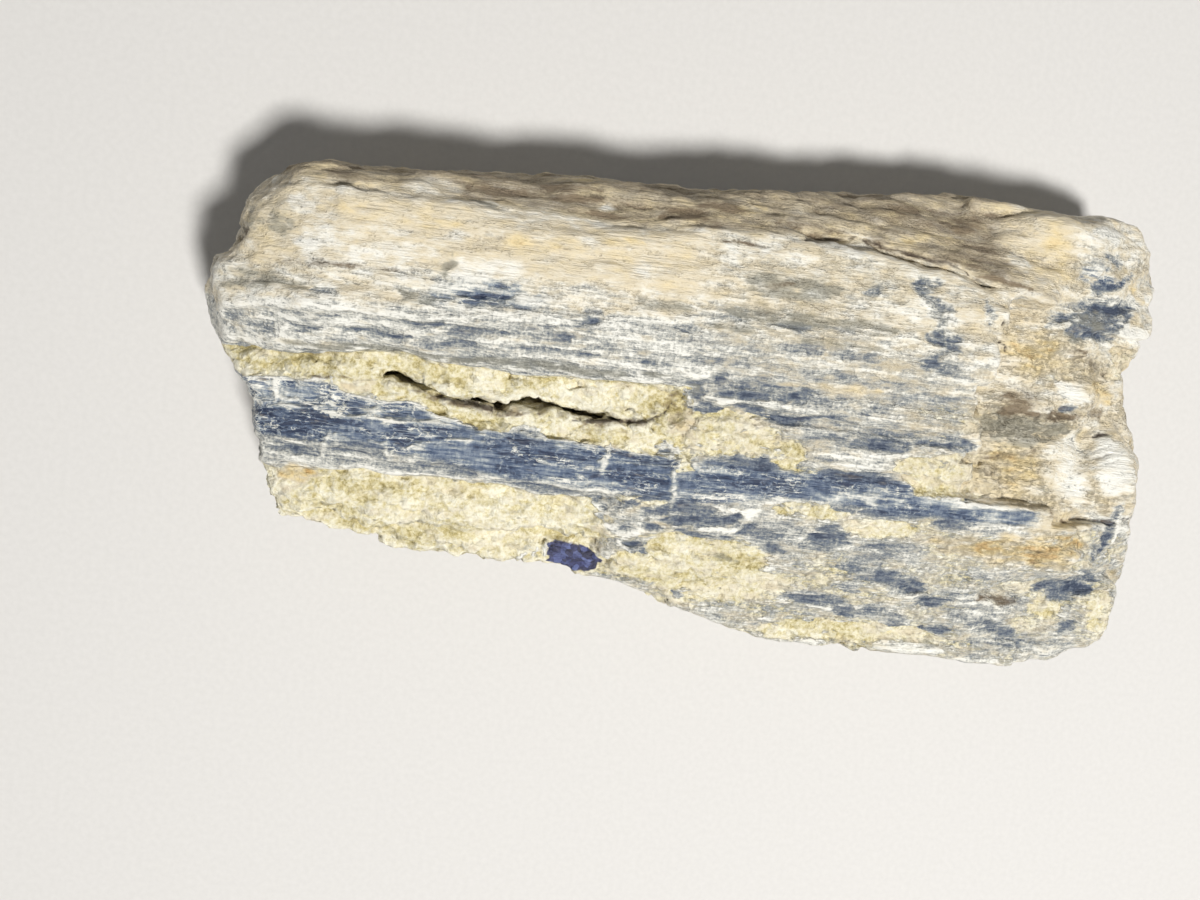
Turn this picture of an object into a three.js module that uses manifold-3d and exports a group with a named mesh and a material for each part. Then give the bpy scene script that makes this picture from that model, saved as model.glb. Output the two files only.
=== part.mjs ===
// Kyanite hand specimen: parallel kyanite blades grown together with pale quartz, as one closed solid.
// Millimetres, +Z up. X runs along the blades.
// The origin is the middle of the footprint, on the resting plane.
import * as THREE from "three";
import { mergeVertices } from "three/addons/utils/BufferGeometryUtils.js";
import Module from "manifold-3d";

const wasm = await Module();
wasm.setup();

// Driving dimensions of the finished specimen
const LENGTH = 130;
const WIDTH = 64;
const HEIGHT = 31;

// Outline in plan at the widest level, clockwise from the back left corner
const OUTLINE = [
  [-52, 25.5], [-47.5, 25.3], [-33, 26.5], [-17, 27.5], [-7, 27.5], [3.5, 29], [16, 30], [28, 31.5],
  [40, 31], [52, 31.7], [57, 30.8], [59.5, 27.9], [59.7, 25.1], [61.3, 22.5], [60.2, 20.6], [61.2, 18.5],
  [61.2, 15.8], [59.5, 14], [58.5, 10.2], [60, 5.6], [63.2, 0], [63.7, -9.6], [65, -21.5], [65, -26],
  [63, -28.1], [56, -31.8], [46.5, -31.9], [37, -31.3], [22.5, -31], [8.5, -29.8], [-0.5, -27], [-5.5, -25],
  [-17, -24.3], [-26.5, -23], [-36, -23.3], [-44.5, -21], [-53.5, -19], [-56, -14], [-58.5, -6.5],
  [-58.3, -2.5], [-61, 0.5], [-63.5, 4.5], [-65, 9], [-63, 13.5], [-60.5, 19.5], [-55.5, 24.3],
];

// How far the outline draws in towards the middle at a height, as a share of its reach on each side
const LEVELS = [
  { height: 0, left: 0.93, right: 0.9, front: 0.8, back: 0.84 },
  { height: 3, left: 0.97, right: 0.95, front: 0.91, back: 0.92 },
  { height: 8, left: 0.99, right: 0.98, front: 0.975, back: 0.97 },
  { height: 13, left: 1, right: 1, front: 1, back: 1 },
  { height: 20, left: 0.99, right: 0.945, front: 0.97, back: 0.985 },
  { height: 26, left: 0.97, right: 0.89, front: 0.92, back: 0.94 },
  { height: 38, left: 0.9, right: 0.78, front: 0.8, back: 0.8 },
];
const LEVEL_CHIP = 0.45; // how rough each level's outline is

// Plan lines along the blades, where one band of the top meets the next: [x, y] from left to right
const BACK = [[-70, 36], [70, 36]];
const SLOPE_FOOT = [[-66, 23], [-46, 22], [-14, 20.8], [-4, 23.2], [12, 24], [30, 21.2], [44, 18.2]];
const PLATEAU = [[-66, 12.2], [-37, 14.4], [-18, 16], [20, 17.5], [44, 16.8]];
const CREST = [[-66, 7.5], [-24, 9.5], [44, 10.5]];
const SEAM = [[-66, 2.6], [-41, 4.2], [-24, 3.2], [-6, 3.9], [9, 4.3], [44, 3]];
const BLUE_BACK = [[-66, -3.3], [-28, -4.1], [-15, -5.6], [11, -6], [46, -7.7]];
const BLUE_FRONT = [[-66, -7.2], [-30, -9.4], [-14, -10.4], [12, -9.9], [46, -9.8]];
const FRINGE = [[-66, -10.6], [-40, -11], [-12, -11.6]];
const FRONT = [[-70, -36], [70, -36]];

// Bands of blades on the top: from x to x between two plan lines, with the height of the faces at both lines
const TOP_BANDS = [
  { from: -58, to: 44, back: BACK, front: SLOPE_FOOT, backZ: 13, frontZ: 27.6, rows: 5, ledge: 0.5 },
  { from: -62, to: 36, back: SLOPE_FOOT, front: PLATEAU, backZ: 27.9, frontZ: 29, rows: 3, ledge: 0.3 },
  { from: -65, to: 34, back: PLATEAU, front: CREST, backZ: 28.8, frontZ: 29.6, rows: 3, ledge: 0.4 },
  { from: -66, to: 33, back: CREST, front: SEAM, backZ: 29.3, frontZ: 26.9, rows: 3, ledge: 0.4 },
  { from: -62, to: -5, back: SEAM, front: BLUE_BACK, backZ: 24.4, frontZ: 24.6, rows: 2, ledge: 0.3 },
  { from: -6, to: 34, back: SEAM, front: BLUE_BACK, backZ: 27, frontZ: 26, rows: 5, ledge: 0.5 },
  { from: -59, to: 47, back: BLUE_BACK, front: BLUE_FRONT, backZ: 26.2, frontZ: 25.8, rows: 2, ledge: 0.2 },
  { from: -58, to: -13, back: BLUE_FRONT, front: FRINGE, backZ: 25.1, frontZ: 24.4, rows: 1, ledge: 0.3 },
  { from: -58, to: -12, back: FRINGE, front: FRONT, backZ: 22.4, frontZ: 5, rows: 4, ledge: 0.4 },
  { from: -13, to: 65, back: BLUE_FRONT, front: FRONT, backZ: 25.4, frontZ: 14.5, rows: 9, ledge: 0.55 },
  { from: 32, to: 61, back: SLOPE_FOOT, front: BLUE_BACK, backZ: 22.6, frontZ: 22.8, rows: 4, ledge: 0.5 },
  { from: 41, to: 62, back: BACK, front: PLATEAU, backZ: 19.5, frontZ: 24.4, rows: 7, ledge: 0.7 },
  { from: 45, to: 64, back: BLUE_BACK, front: BLUE_FRONT, backZ: 23.4, frontZ: 23, rows: 1, ledge: 0.4 },
];
const TOP_TIER_FLOOR = 9;

// Blades of the underside, row by row from the front: how far each is broken back from the resting plane
const UNDER_ROWS = [1.8, 0.7, 0, 1.1, 0, 0.6, 0, 0.9, 2.2];
const UNDER_TIER_TOP = 12;
const UNDER_LEDGE = 0.35;

// Both ends fall away from the crest: where each fall starts, how long it is and how deep
const LEFT_FALL = { start: -46, length: 20, depth: 5.5 };
const RIGHT_FALL = { start: 36, length: 28, depth: 7 };

// Blades
const BLADE_SHORTEST = 22;
const BLADE_LONGEST = 58;
const BLADE_STEP = 12; // spacing of the points that follow a plan line
const BLADE_LEAN = 0.035; // slope across a blade's face, either way
const BLADE_DIP = 0.008; // slope along a blade's face, either way
const ROW_UNEVENNESS = 0.25; // how far a row's limit strays, by the width of a row
const RAGGED_END = 2.6;
const OVERLAP = 0.2; // how far neighbours run into each other

// Fields of quartz grains between two plan lines, with the height of the grains at both lines
const GRAIN_FIELDS = [
  { from: -60, to: -6, back: SEAM, front: BLUE_BACK, backZ: 25.6, frontZ: 25.2, radius: 3.4, apart: 3.7 },
  { from: -55, to: -15, back: FRINGE, front: FRONT, backZ: 23.8, frontZ: 6.5, radius: 4.2, apart: 4.3 },
  { from: 36, to: 47, back: PLATEAU, front: BLUE_BACK, backZ: 23.6, frontZ: 24, radius: 3.9, apart: 4.6 },
];
const GRAIN_SIZES = [0.75, 1.2]; // smallest and largest, by the field's radius
const GRAIN_SCATTER = 0.33; // how far a grain strays from its place, by how far apart the grains are
const GRAIN_RISE = 0.3; // and up or down, in millimetres
const GRAIN_DETAIL = 1;
const GRAIN_STRETCH = 1.35; // length of a grain along the blades, by its width
const GRAIN_FLATNESS = 0.55; // height of a grain, by its width

// Single rounded knobs of quartz: middle in plan, radii along x, y and z, height of the top
const KNOBS = [
  { at: [53, -3.5], radii: [10.5, 11, 9], top: 22.8 },
  { at: [44, -13.5], radii: [13, 4.4, 4], top: 23.6 },
  { at: [56, -23], radii: [12, 10, 9], top: 18.4 },
  { at: [42, 24.5], radii: [15, 7.5, 8], top: 24.3 },
  { at: [-9, -2.4], radii: [8, 3.2, 4], top: 26.2 },
];
const KNOB_DETAIL = 2;
const LUMP_ROUGHNESS = 0.22; // how far a lump's surface strays from round, by its radius
const LUMP_RIPPLES = 3.4; // how many ripples there are over a lump's surface

// The indigo crystal that shows its end in the front edge: middle, size and turn about x, y and z in degrees
const INDIGO_CRYSTAL = { at: [-15.5, -22.4, 14.5], size: [9.5, 4.6, 9], turn: [-24, 6, -14] };

// Open clefts: [x, y, width] along each, and the height of the bottom
const CLEFTS = [
  // The long fissure in the quartz seam
  {
    floor: 18,
    line: [
      [-42.5, 1, 0.3], [-41, 0.6, 1.3], [-35.5, -0.4, 0.9], [-31, -0.9, 0.8], [-28, -1.4, 1.4],
      [-24, -0.3, 1.6], [-19, -1.5, 1.2], [-14.5, -1.3, 0.9], [-11, -0.9, 0.3],
    ],
  },
  // The shallow crack that carries the fissure on to the right
  {
    floor: 24.2,
    line: [[-12, -1.1, 0.3], [-9, -0.2, 0.8], [-6.8, 1.6, 0.8], [-5.4, 3.8, 0.3]],
  },
  // The groove where the back slope parts from the plateau
  {
    floor: 24.5,
    line: [[1, 23.6, 0.2], [8, 24, 0.7], [12, 23.9, 1], [20, 22.6, 0.6], [30, 20.6, 0.6], [41, 17.6, 0.3]],
  },
  // The parting across the blades near the right end
  {
    floor: 21,
    line: [[35.4, 13.6, 0.3], [36.4, 12.4, 0.8], [36.4, 10.6, 0.7], [36, 9.4, 0.2]],
  },
  // The slit in the front right corner
  {
    floor: 17,
    line: [[38, -20.2, 0.3], [41, -20.7, 0.9], [45, -21.2, 1.5], [47.5, -21.4, 0.4]],
  },
];
const CLEFT_TOP = 45;

// Hollows: middle, radii
const HOLLOWS = [
  { at: [-35.8, 15.2, 29.8], radii: [1, 1, 1.3] }, // the round pit in the plateau
  { at: [54, 8.5, 26.5], radii: [9, 4.6, 4.2] }, // the stained hollow at the right end
  { at: [-63, 15.5, 22], radii: [4.5, 1.6, 9] }, // the notch in the left end
];

// Broken corners: a point on each fracture plane and the way it faces
const FRACTURES = [
  { at: [-54.5, 20, 26.5], faces: [-0.52, 0.47, 0.72] },
  { at: [-63, 5, 24], faces: [-0.9, -0.3, 0.32] },
  { at: [-57.5, -12, 21], faces: [-0.9, -0.25, 0.35] },
  { at: [62.5, -16, 17], faces: [0.86, -0.1, 0.5] },
  { at: [58, 28, 17], faces: [0.55, 0.6, 0.58] },
  { at: [60, -29, 8], faces: [0.5, -0.6, -0.62] },
  { at: [-55, -16, 6], faces: [-0.55, -0.5, -0.67] },
  { at: [-60, 20, 6], faces: [-0.6, 0.35, -0.72] },
  { at: [61, 24, 5], faces: [0.6, 0.3, -0.74] },
];
const FRACTURE_REACH = 60;

// Blades that stand out of the long sides, front and back in turn: least and most of each size
const SIDE_BLADES = 30;
const SIDE_LOWEST = 2.5;
const SIDE_HIGHEST = 17;
const SIDE_TALL = [1.6, 4.6];
const SIDE_LONG = [14, 44];
const SIDE_PROUD = [0.1, 0.5];
const SIDE_DEEP = 3;
const SIDE_FROM_MIDDLE = 15; // the long sides of the outline lie further than this from the middle line
const SIDE_REACH = 52; // and end this far from the middle

const SEED = 20;
const SLIVER = 0.06; // edges shorter than this are merged away at the end

const COLOUR = 0xc9c4b4;
const ROUGHNESS = 0.6;

const lerp = THREE.MathUtils.lerp;

// Repeatable random numbers from 0 to 1.
function randomFrom(seed) {
  let state = seed;
  return () => {
    state = (state + 0x6d2b79f5) | 0;
    let mixed = Math.imul(state ^ (state >>> 15), 1 | state);
    mixed = (mixed + Math.imul(mixed ^ (mixed >>> 7), 61 | mixed)) ^ mixed;
    return ((mixed ^ (mixed >>> 14)) >>> 0) / 4294967296;
  };
}
const random = randomFrom(SEED);
const either = (most) => (2 * random() - 1) * most;
const between = ([least, most]) => lerp(least, most, random());

// A closed three.js geometry as a solid that can be joined and cut.
function solid(geometry) {
  const bare = new THREE.BufferGeometry().setAttribute("position", geometry.getAttribute("position"));
  bare.setIndex(geometry.index);
  const merged = mergeVertices(bare, 1e-4);
  return new wasm.Manifold(
    new wasm.Mesh({
      numProp: 3,
      vertProperties: merged.getAttribute("position").array,
      triVerts: new Uint32Array(merged.index.array),
    }),
  );
}

// Moves every vertex of a geometry by a function of its place.
function reshape(geometry, move) {
  const position = geometry.getAttribute("position");
  const point = new THREE.Vector3();
  for (let i = 0; i < position.count; i++) {
    move(point.fromBufferAttribute(position, i));
    position.setXYZ(i, point.x, point.y, point.z);
  }
  return geometry;
}

// A prism over a plan outline, between a floor and a top that are functions of x and y.
function prism(plan, floor, top) {
  const shape = new THREE.Shape(plan.map(([x, y]) => new THREE.Vector2(x, y)));
  const geometry = new THREE.ExtrudeGeometry(shape, { depth: 1, bevelEnabled: false });
  return solid(
    reshape(geometry, (p) => {
      p.z = p.z > 0.5 ? top(p.x, p.y) : floor(p.x, p.y);
    }),
  );
}

// y of a plan line at x, straight between its points and on past its ends.
function lineAt(line, x) {
  const found = line.findIndex(([px]) => px >= x);
  const end = found < 0 ? line.length - 1 : Math.max(1, found);
  const [x0, y0] = line[end - 1];
  const [x1, y1] = line[end];
  return lerp(y0, y1, (x - x0) / (x1 - x0));
}

// How far the top has fallen at x, towards either end.
function endFall(x) {
  const left = Math.max(0, (LEFT_FALL.start - x) / LEFT_FALL.length);
  const right = Math.max(0, (x - RIGHT_FALL.start) / RIGHT_FALL.length);
  return LEFT_FALL.depth * left ** 2 + RIGHT_FALL.depth * right ** 2;
}

// One blade between two shares of the way across a band, from x to x.
// Its floor and top are functions of x and y.
function blade({ front, back }, [low, high], [from, to], floor, top) {
  const steps = Math.max(1, Math.round((to - from) / BLADE_STEP));
  return solid(
    reshape(new THREE.BoxGeometry(1, 1, 1, steps, 1, 1), (p) => {
      const x = lerp(from, to, p.x + 0.5);
      const [share, extra] = p.y < 0 ? [low, -OVERLAP] : [high, OVERLAP];
      const y = lerp(lineAt(front, x), lineAt(back, x), share) + extra;
      p.set(x, y, p.z < 0 ? floor(x, y) : top(x, y));
    }),
  );
}

// The broken lengths of one row of blades, as [from, to] pairs with ragged outer ends.
function brokenLengths(from, to) {
  const end = to - random() * RAGGED_END;
  const lengths = [];
  for (let x = from + random() * RAGGED_END; x < end; ) {
    const wanted = x + between([BLADE_SHORTEST, BLADE_LONGEST]);
    const next = end - wanted < BLADE_SHORTEST / 2 ? end : wanted;
    lengths.push([x - OVERLAP, next]);
    x = next;
  }
  return lengths;
}

// Shares of the way across a band where its rows of blades meet, unevenly spaced.
function rowLimits(rows) {
  const inner = Array.from({ length: rows - 1 }, (_, i) => (i + 1 + either(ROW_UNEVENNESS)) / rows);
  return [0, ...inner, 1];
}

// All the blades of one band of the top, with flat faces that step up and down from row to row.
function topBlades(band) {
  const limits = rowLimits(band.rows);
  return limits.slice(1).flatMap((high, row) => {
    const low = limits[row];
    return brokenLengths(band.from, band.to).map((length) => {
      const [ledge, lean, dip] = [either(band.ledge), either(BLADE_LEAN), either(BLADE_DIP)];
      const middle = { share: (low + high) / 2, x: (length[0] + length[1]) / 2 };
      const top = (x, y) => {
        const [yFront, yBack] = [lineAt(band.front, x), lineAt(band.back, x)];
        const share = (y - yFront) / (yBack - yFront);
        const tilt = lean * (share - middle.share) * (yBack - yFront) + dip * (x - middle.x);
        return lerp(band.frontZ, band.backZ, share) - endFall(x) + ledge + tilt;
      };
      return blade(band, [low, high], length, () => TOP_TIER_FLOOR, top);
    });
  });
}

// The blades of the underside. Rows at 0 lie in the resting plane.
function underBlades() {
  const band = { front: FRONT, back: BACK };
  return UNDER_ROWS.flatMap((broken, row) =>
    brokenLengths(-LENGTH / 2 - RAGGED_END, LENGTH / 2 + RAGGED_END).map((length) => {
      const floor = broken > 0 ? broken + either(UNDER_LEDGE) : 0;
      const shares = [row / UNDER_ROWS.length, (row + 1) / UNDER_ROWS.length];
      return blade(band, shares, length, () => floor, () => UNDER_TIER_TOP);
    }),
  );
}

// Ripples over space, from -1 to 1, that make a round shape lumpy.
function ripple(p) {
  const waves = [1.7 * p.x + 0.9 * p.y, 1.3 * p.y - 1.1 * p.z, 1.9 * p.z + 0.7 * p.x];
  return waves.reduce((sum, wave) => sum + Math.sin(wave), 0) / waves.length;
}

// A rounded lump of quartz with a rough surface.
function lump([x, y, z], [rx, ry, rz], detail) {
  const shift = new THREE.Vector3(x, y, z);
  return solid(
    reshape(new THREE.IcosahedronGeometry(1, detail), (p) => {
      const rough = 1 + LUMP_ROUGHNESS * ripple(p.clone().multiplyScalar(LUMP_RIPPLES).add(shift));
      p.set(p.x * rx, p.y * ry, p.z * rz).multiplyScalar(rough).add(shift);
    }),
  );
}

// A field of grains scattered between two plan lines.
function grains({ from, to, back, front, backZ, frontZ, radius, apart }) {
  const found = [];
  for (let x = from; x <= to; x += apart) {
    const [low, high] = [lineAt(front, x), lineAt(back, x)];
    const rows = Math.max(1, Math.floor((high - low) / apart));
    for (let row = 0; row < rows; row++) {
      const share = (row + 0.5) / rows;
      const middle = lerp(low, high, share);
      const [gx, gy] = [x, middle].map((place) => place + either(GRAIN_SCATTER * apart));
      const size = radius * between(GRAIN_SIZES);
      const top = lerp(frontZ, backZ, share) - endFall(gx) + either(GRAIN_RISE);
      const flat = GRAIN_FLATNESS * size;
      found.push(lump([gx, gy, top - flat], [GRAIN_STRETCH * size, size, flat], GRAIN_DETAIL));
    }
  }
  return found;
}

// A cleft along a plan line, cut straight down to its floor. Its width lies square to the line.
function cleft({ line, floor }) {
  const square = line.map((_, i) => {
    const [before, after] = [line[Math.max(0, i - 1)], line[Math.min(line.length - 1, i + 1)]];
    return new THREE.Vector2(before[1] - after[1], after[0] - before[0]).normalize();
  });
  const side = (way) =>
    line.map(([x, y, width], i) => {
      const away = (way * width) / 2;
      return [x + square[i].x * away, y + square[i].y * away];
    });
  return prism([...side(-1), ...side(1).reverse()], () => floor, () => CLEFT_TOP);
}

// Everything beyond a fracture plane.
function fracture({ at, faces }) {
  const normal = new THREE.Vector3(...faces).normalize();
  const block = new THREE.BoxGeometry(FRACTURE_REACH, FRACTURE_REACH, FRACTURE_REACH);
  block.applyQuaternion(new THREE.Quaternion().setFromUnitVectors(new THREE.Vector3(0, 0, 1), normal));
  const middle = normal.multiplyScalar(FRACTURE_REACH / 2).add(new THREE.Vector3(...at));
  return solid(block.translate(middle.x, middle.y, middle.z));
}

// The crystal in the front edge, a turned block with flat faces.
function indigoCrystal({ at, size, turn }) {
  const block = new THREE.BoxGeometry(...size);
  const [rx, ry, rz] = turn.map(THREE.MathUtils.degToRad);
  block.rotateX(rx).rotateY(ry).rotateZ(rz);
  return solid(block.translate(...at));
}

// A place on the outline, drawn in as one level has it.
function drawnIn({ left, right, front, back }, x, y) {
  return [x * (x < 0 ? left : right), y * (y < 0 ? front : back)];
}

// The level at any height, between those that are given.
function levelAt(height) {
  const above = Math.max(1, LEVELS.findIndex((level) => level.height >= height));
  const [low, high] = [LEVELS[above - 1], LEVELS[above]];
  const share = (height - low.height) / (high.height - low.height);
  return Object.fromEntries(Object.keys(low).map((side) => [side, lerp(low[side], high[side], share)]));
}

// The rough outside form, through the outline at every level.
function outsideForm() {
  const shape = new THREE.Shape(OUTLINE.map(([x, y]) => new THREE.Vector2(x, y)));
  const steps = LEVELS.length - 1;
  const geometry = new THREE.ExtrudeGeometry(shape, { depth: steps, steps, bevelEnabled: false });
  const chips = new Map();
  return solid(
    reshape(geometry, (p) => {
      const level = LEVELS[Math.round(p.z)];
      const place = `${p.x} ${p.y} ${p.z}`;
      if (!chips.has(place)) chips.set(place, [either(LEVEL_CHIP), either(LEVEL_CHIP)]);
      const [chipX, chipY] = chips.get(place);
      const [x, y] = drawnIn(level, p.x, p.y);
      p.set(x + chipX, y + chipY, level.height);
    }),
  );
}

// The outline along one of the long sides, as a plan line: side 1 is the back and -1 the front.
function longEdge(side) {
  const within = ([x, y]) => side * y > SIDE_FROM_MIDDLE && Math.abs(x) < SIDE_REACH;
  return OUTLINE.filter(within).sort((a, b) => a[0] - b[0]);
}

// One blade that lies along a long side and stands a little proud of it.
function sideBlade(_, index) {
  const side = index % 2 ? 1 : -1;
  const bottom = between([SIDE_LOWEST, SIDE_HIGHEST]);
  const top = bottom + between(SIDE_TALL);
  const long = between(SIDE_LONG);
  const from = between([-SIDE_REACH, SIDE_REACH - long]);
  const edge = longEdge(side).map(([x, y]) => drawnIn(levelAt((bottom + top) / 2), x, y));
  const shifted = (by) => edge.map(([x, y]) => [x, y + side * by]);
  const [outer, inner] = [shifted(between(SIDE_PROUD)), shifted(-SIDE_DEEP)];
  const band = side > 0 ? { front: inner, back: outer } : { front: outer, back: inner };
  return blade(band, [0, 1], [from, from + long], () => bottom, () => top);
}

const join = (solids) => solids.reduce((whole, next) => whole.add(next));
const cut = (whole, solids) => solids.reduce((left, next) => left.subtract(next), whole);

// The outermost surface alone: gaps sealed between blades are filled and loose chips are dropped.
function outermost(made) {
  return made.decompose().reduce((most, next) => (next.volume() > most.volume() ? next : most));
}

// The specimen: blades and quartz within the outside form, side blades laid on, then cuts.
function specimen() {
  const knobs = KNOBS.map(({ at, radii, top }) => lump([...at, top - radii[2]], radii, KNOB_DETAIL));
  const quartz = [...GRAIN_FIELDS.flatMap(grains), ...knobs];
  const blades = [...TOP_BANDS.flatMap(topBlades), ...underBlades(), indigoCrystal(INDIGO_CRYSTAL)];
  const grown = join([...blades, ...quartz]);
  const sides = Array.from({ length: SIDE_BLADES }, sideBlade);
  const whole = join([grown.intersect(outsideForm()), ...sides]);
  const hollows = HOLLOWS.map(({ at, radii }) => lump(at, radii, KNOB_DETAIL));
  const broken = cut(whole, [...CLEFTS.map(cleft), ...hollows, ...FRACTURES.map(fracture)]);
  return outermost(broken.asOriginal().simplify(SLIVER));
}

// The solid as a geometry at the driving dimensions, centred over the origin and standing on z = 0.
function sized(made) {
  const mesh = made.getMesh();
  const geometry = new THREE.BufferGeometry();
  geometry.setAttribute("position", new THREE.BufferAttribute(mesh.vertProperties, 3));
  geometry.setIndex(new THREE.BufferAttribute(mesh.triVerts, 1));
  geometry.computeBoundingBox();
  const { min, max } = geometry.boundingBox;
  geometry.translate(-(min.x + max.x) / 2, -(min.y + max.y) / 2, -min.z);
  geometry.scale(LENGTH / (max.x - min.x), WIDTH / (max.y - min.y), HEIGHT / (max.z - min.z));
  geometry.computeVertexNormals();
  return geometry;
}

const stone = new THREE.MeshStandardMaterial({
  color: COLOUR,
  roughness: ROUGHNESS,
  metalness: 0,
  flatShading: true,
});
const kyanite = new THREE.Mesh(sized(specimen()), stone);
kyanite.name = "kyanite";

const group = new THREE.Group();
group.add(kyanite);

export default group;
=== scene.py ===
"""A kyanite specimen: one slab of blue and white blades grown together with cream quartz.

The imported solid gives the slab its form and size. This script lays a finer skin over that form, with the
striations, flakes and quartz grains of the real stone, and dresses it. The blades run along X. Lengths are in
millimetres in the part's own frame, apart from the lines that are picked in pixels of the photograph.
"""

import logging
from dataclasses import dataclass, field, fields
from enum import Enum

import bmesh
import bpy
import numpy as np
from mathutils import Matrix, Vector
from mathutils.bvhtree import BVHTree

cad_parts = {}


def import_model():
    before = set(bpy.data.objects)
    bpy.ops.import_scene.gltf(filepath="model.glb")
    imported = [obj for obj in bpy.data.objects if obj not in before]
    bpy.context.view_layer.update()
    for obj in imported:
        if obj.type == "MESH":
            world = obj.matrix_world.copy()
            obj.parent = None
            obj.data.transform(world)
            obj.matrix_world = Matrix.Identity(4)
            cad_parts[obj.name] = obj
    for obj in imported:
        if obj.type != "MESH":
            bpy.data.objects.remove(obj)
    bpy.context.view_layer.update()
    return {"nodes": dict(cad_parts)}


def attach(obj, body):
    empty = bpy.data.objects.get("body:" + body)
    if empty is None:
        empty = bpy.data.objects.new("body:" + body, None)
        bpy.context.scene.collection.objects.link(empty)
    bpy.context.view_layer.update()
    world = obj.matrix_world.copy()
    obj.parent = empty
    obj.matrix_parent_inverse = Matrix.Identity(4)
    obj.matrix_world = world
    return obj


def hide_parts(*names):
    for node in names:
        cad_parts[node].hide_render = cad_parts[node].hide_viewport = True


Array = np.ndarray
Point = tuple[float, float]
Line = tuple[Point, ...]
Triple = tuple[float, float, float]
Stops = tuple[tuple[float, str], ...]
Sockets = dict[str, bpy.types.NodeSocket]
Parts = tuple[tuple[str, float], ...]

LOG = logging.getLogger("kyanite")
MM = 0.001
CAD_NODE = "kyanite"
BODY = "root"
NOISE_MIDDLE = 0.5
LUMP_JITTER = 0.42
LUMP_JOINT = 0.6
TOO_FAR = 9.0


def linear_colour(code: str) -> tuple[float, float, float, float]:
    """Turns an sRGB hex colour into linear light.

    Args:
        code: six hex digits, such as "E8DCB4".

    Returns:
        Red, green, blue and an alpha of 1.
    """
    shares = [int(code[i:i + 2], 16) / 255 for i in (0, 2, 4)]
    red, green, blue = [s / 12.92 if s <= 0.04045 else ((s + 0.055) / 1.055) ** 2.4 for s in shares]
    return red, green, blue, 1.0


def add_node(
    tree: bpy.types.NodeTree,
    kind: str,
    settings: dict | None = None,
    inputs: dict | None = None,
    stops: Stops = (),
) -> bpy.types.Node:
    """Adds one shader node with its settings and links.

    Args:
        tree: the node tree that takes the node.
        kind: the node's type name.
        settings: the node's own properties, by name.
        inputs: a value or another node's output for each input, by name or number.
        stops: the places and hex colours of a colour ramp.

    Returns:
        The new node.
    """
    node = tree.nodes.new(kind)
    for name, value in (settings or {}).items():
        setattr(node, name, value)
    for key, value in (inputs or {}).items():
        if isinstance(value, bpy.types.NodeSocket):
            tree.links.new(value, node.inputs[key])
        else:
            node.inputs[key].default_value = value
    for number, (place, code) in enumerate(stops):
        ramp = node.color_ramp.elements
        stop = ramp[number] if number < 2 else ramp.new(place)
        stop.position = place
        stop.color = linear_colour(code)
    return node


def smooth_step(low: float, high: float, value: Array) -> Array:
    """Rises smoothly from 0 at low to 1 at high."""
    share = np.clip((value - low) / (high - low), 0.0, 1.0)
    return share * share * (3.0 - 2.0 * share)


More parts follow.
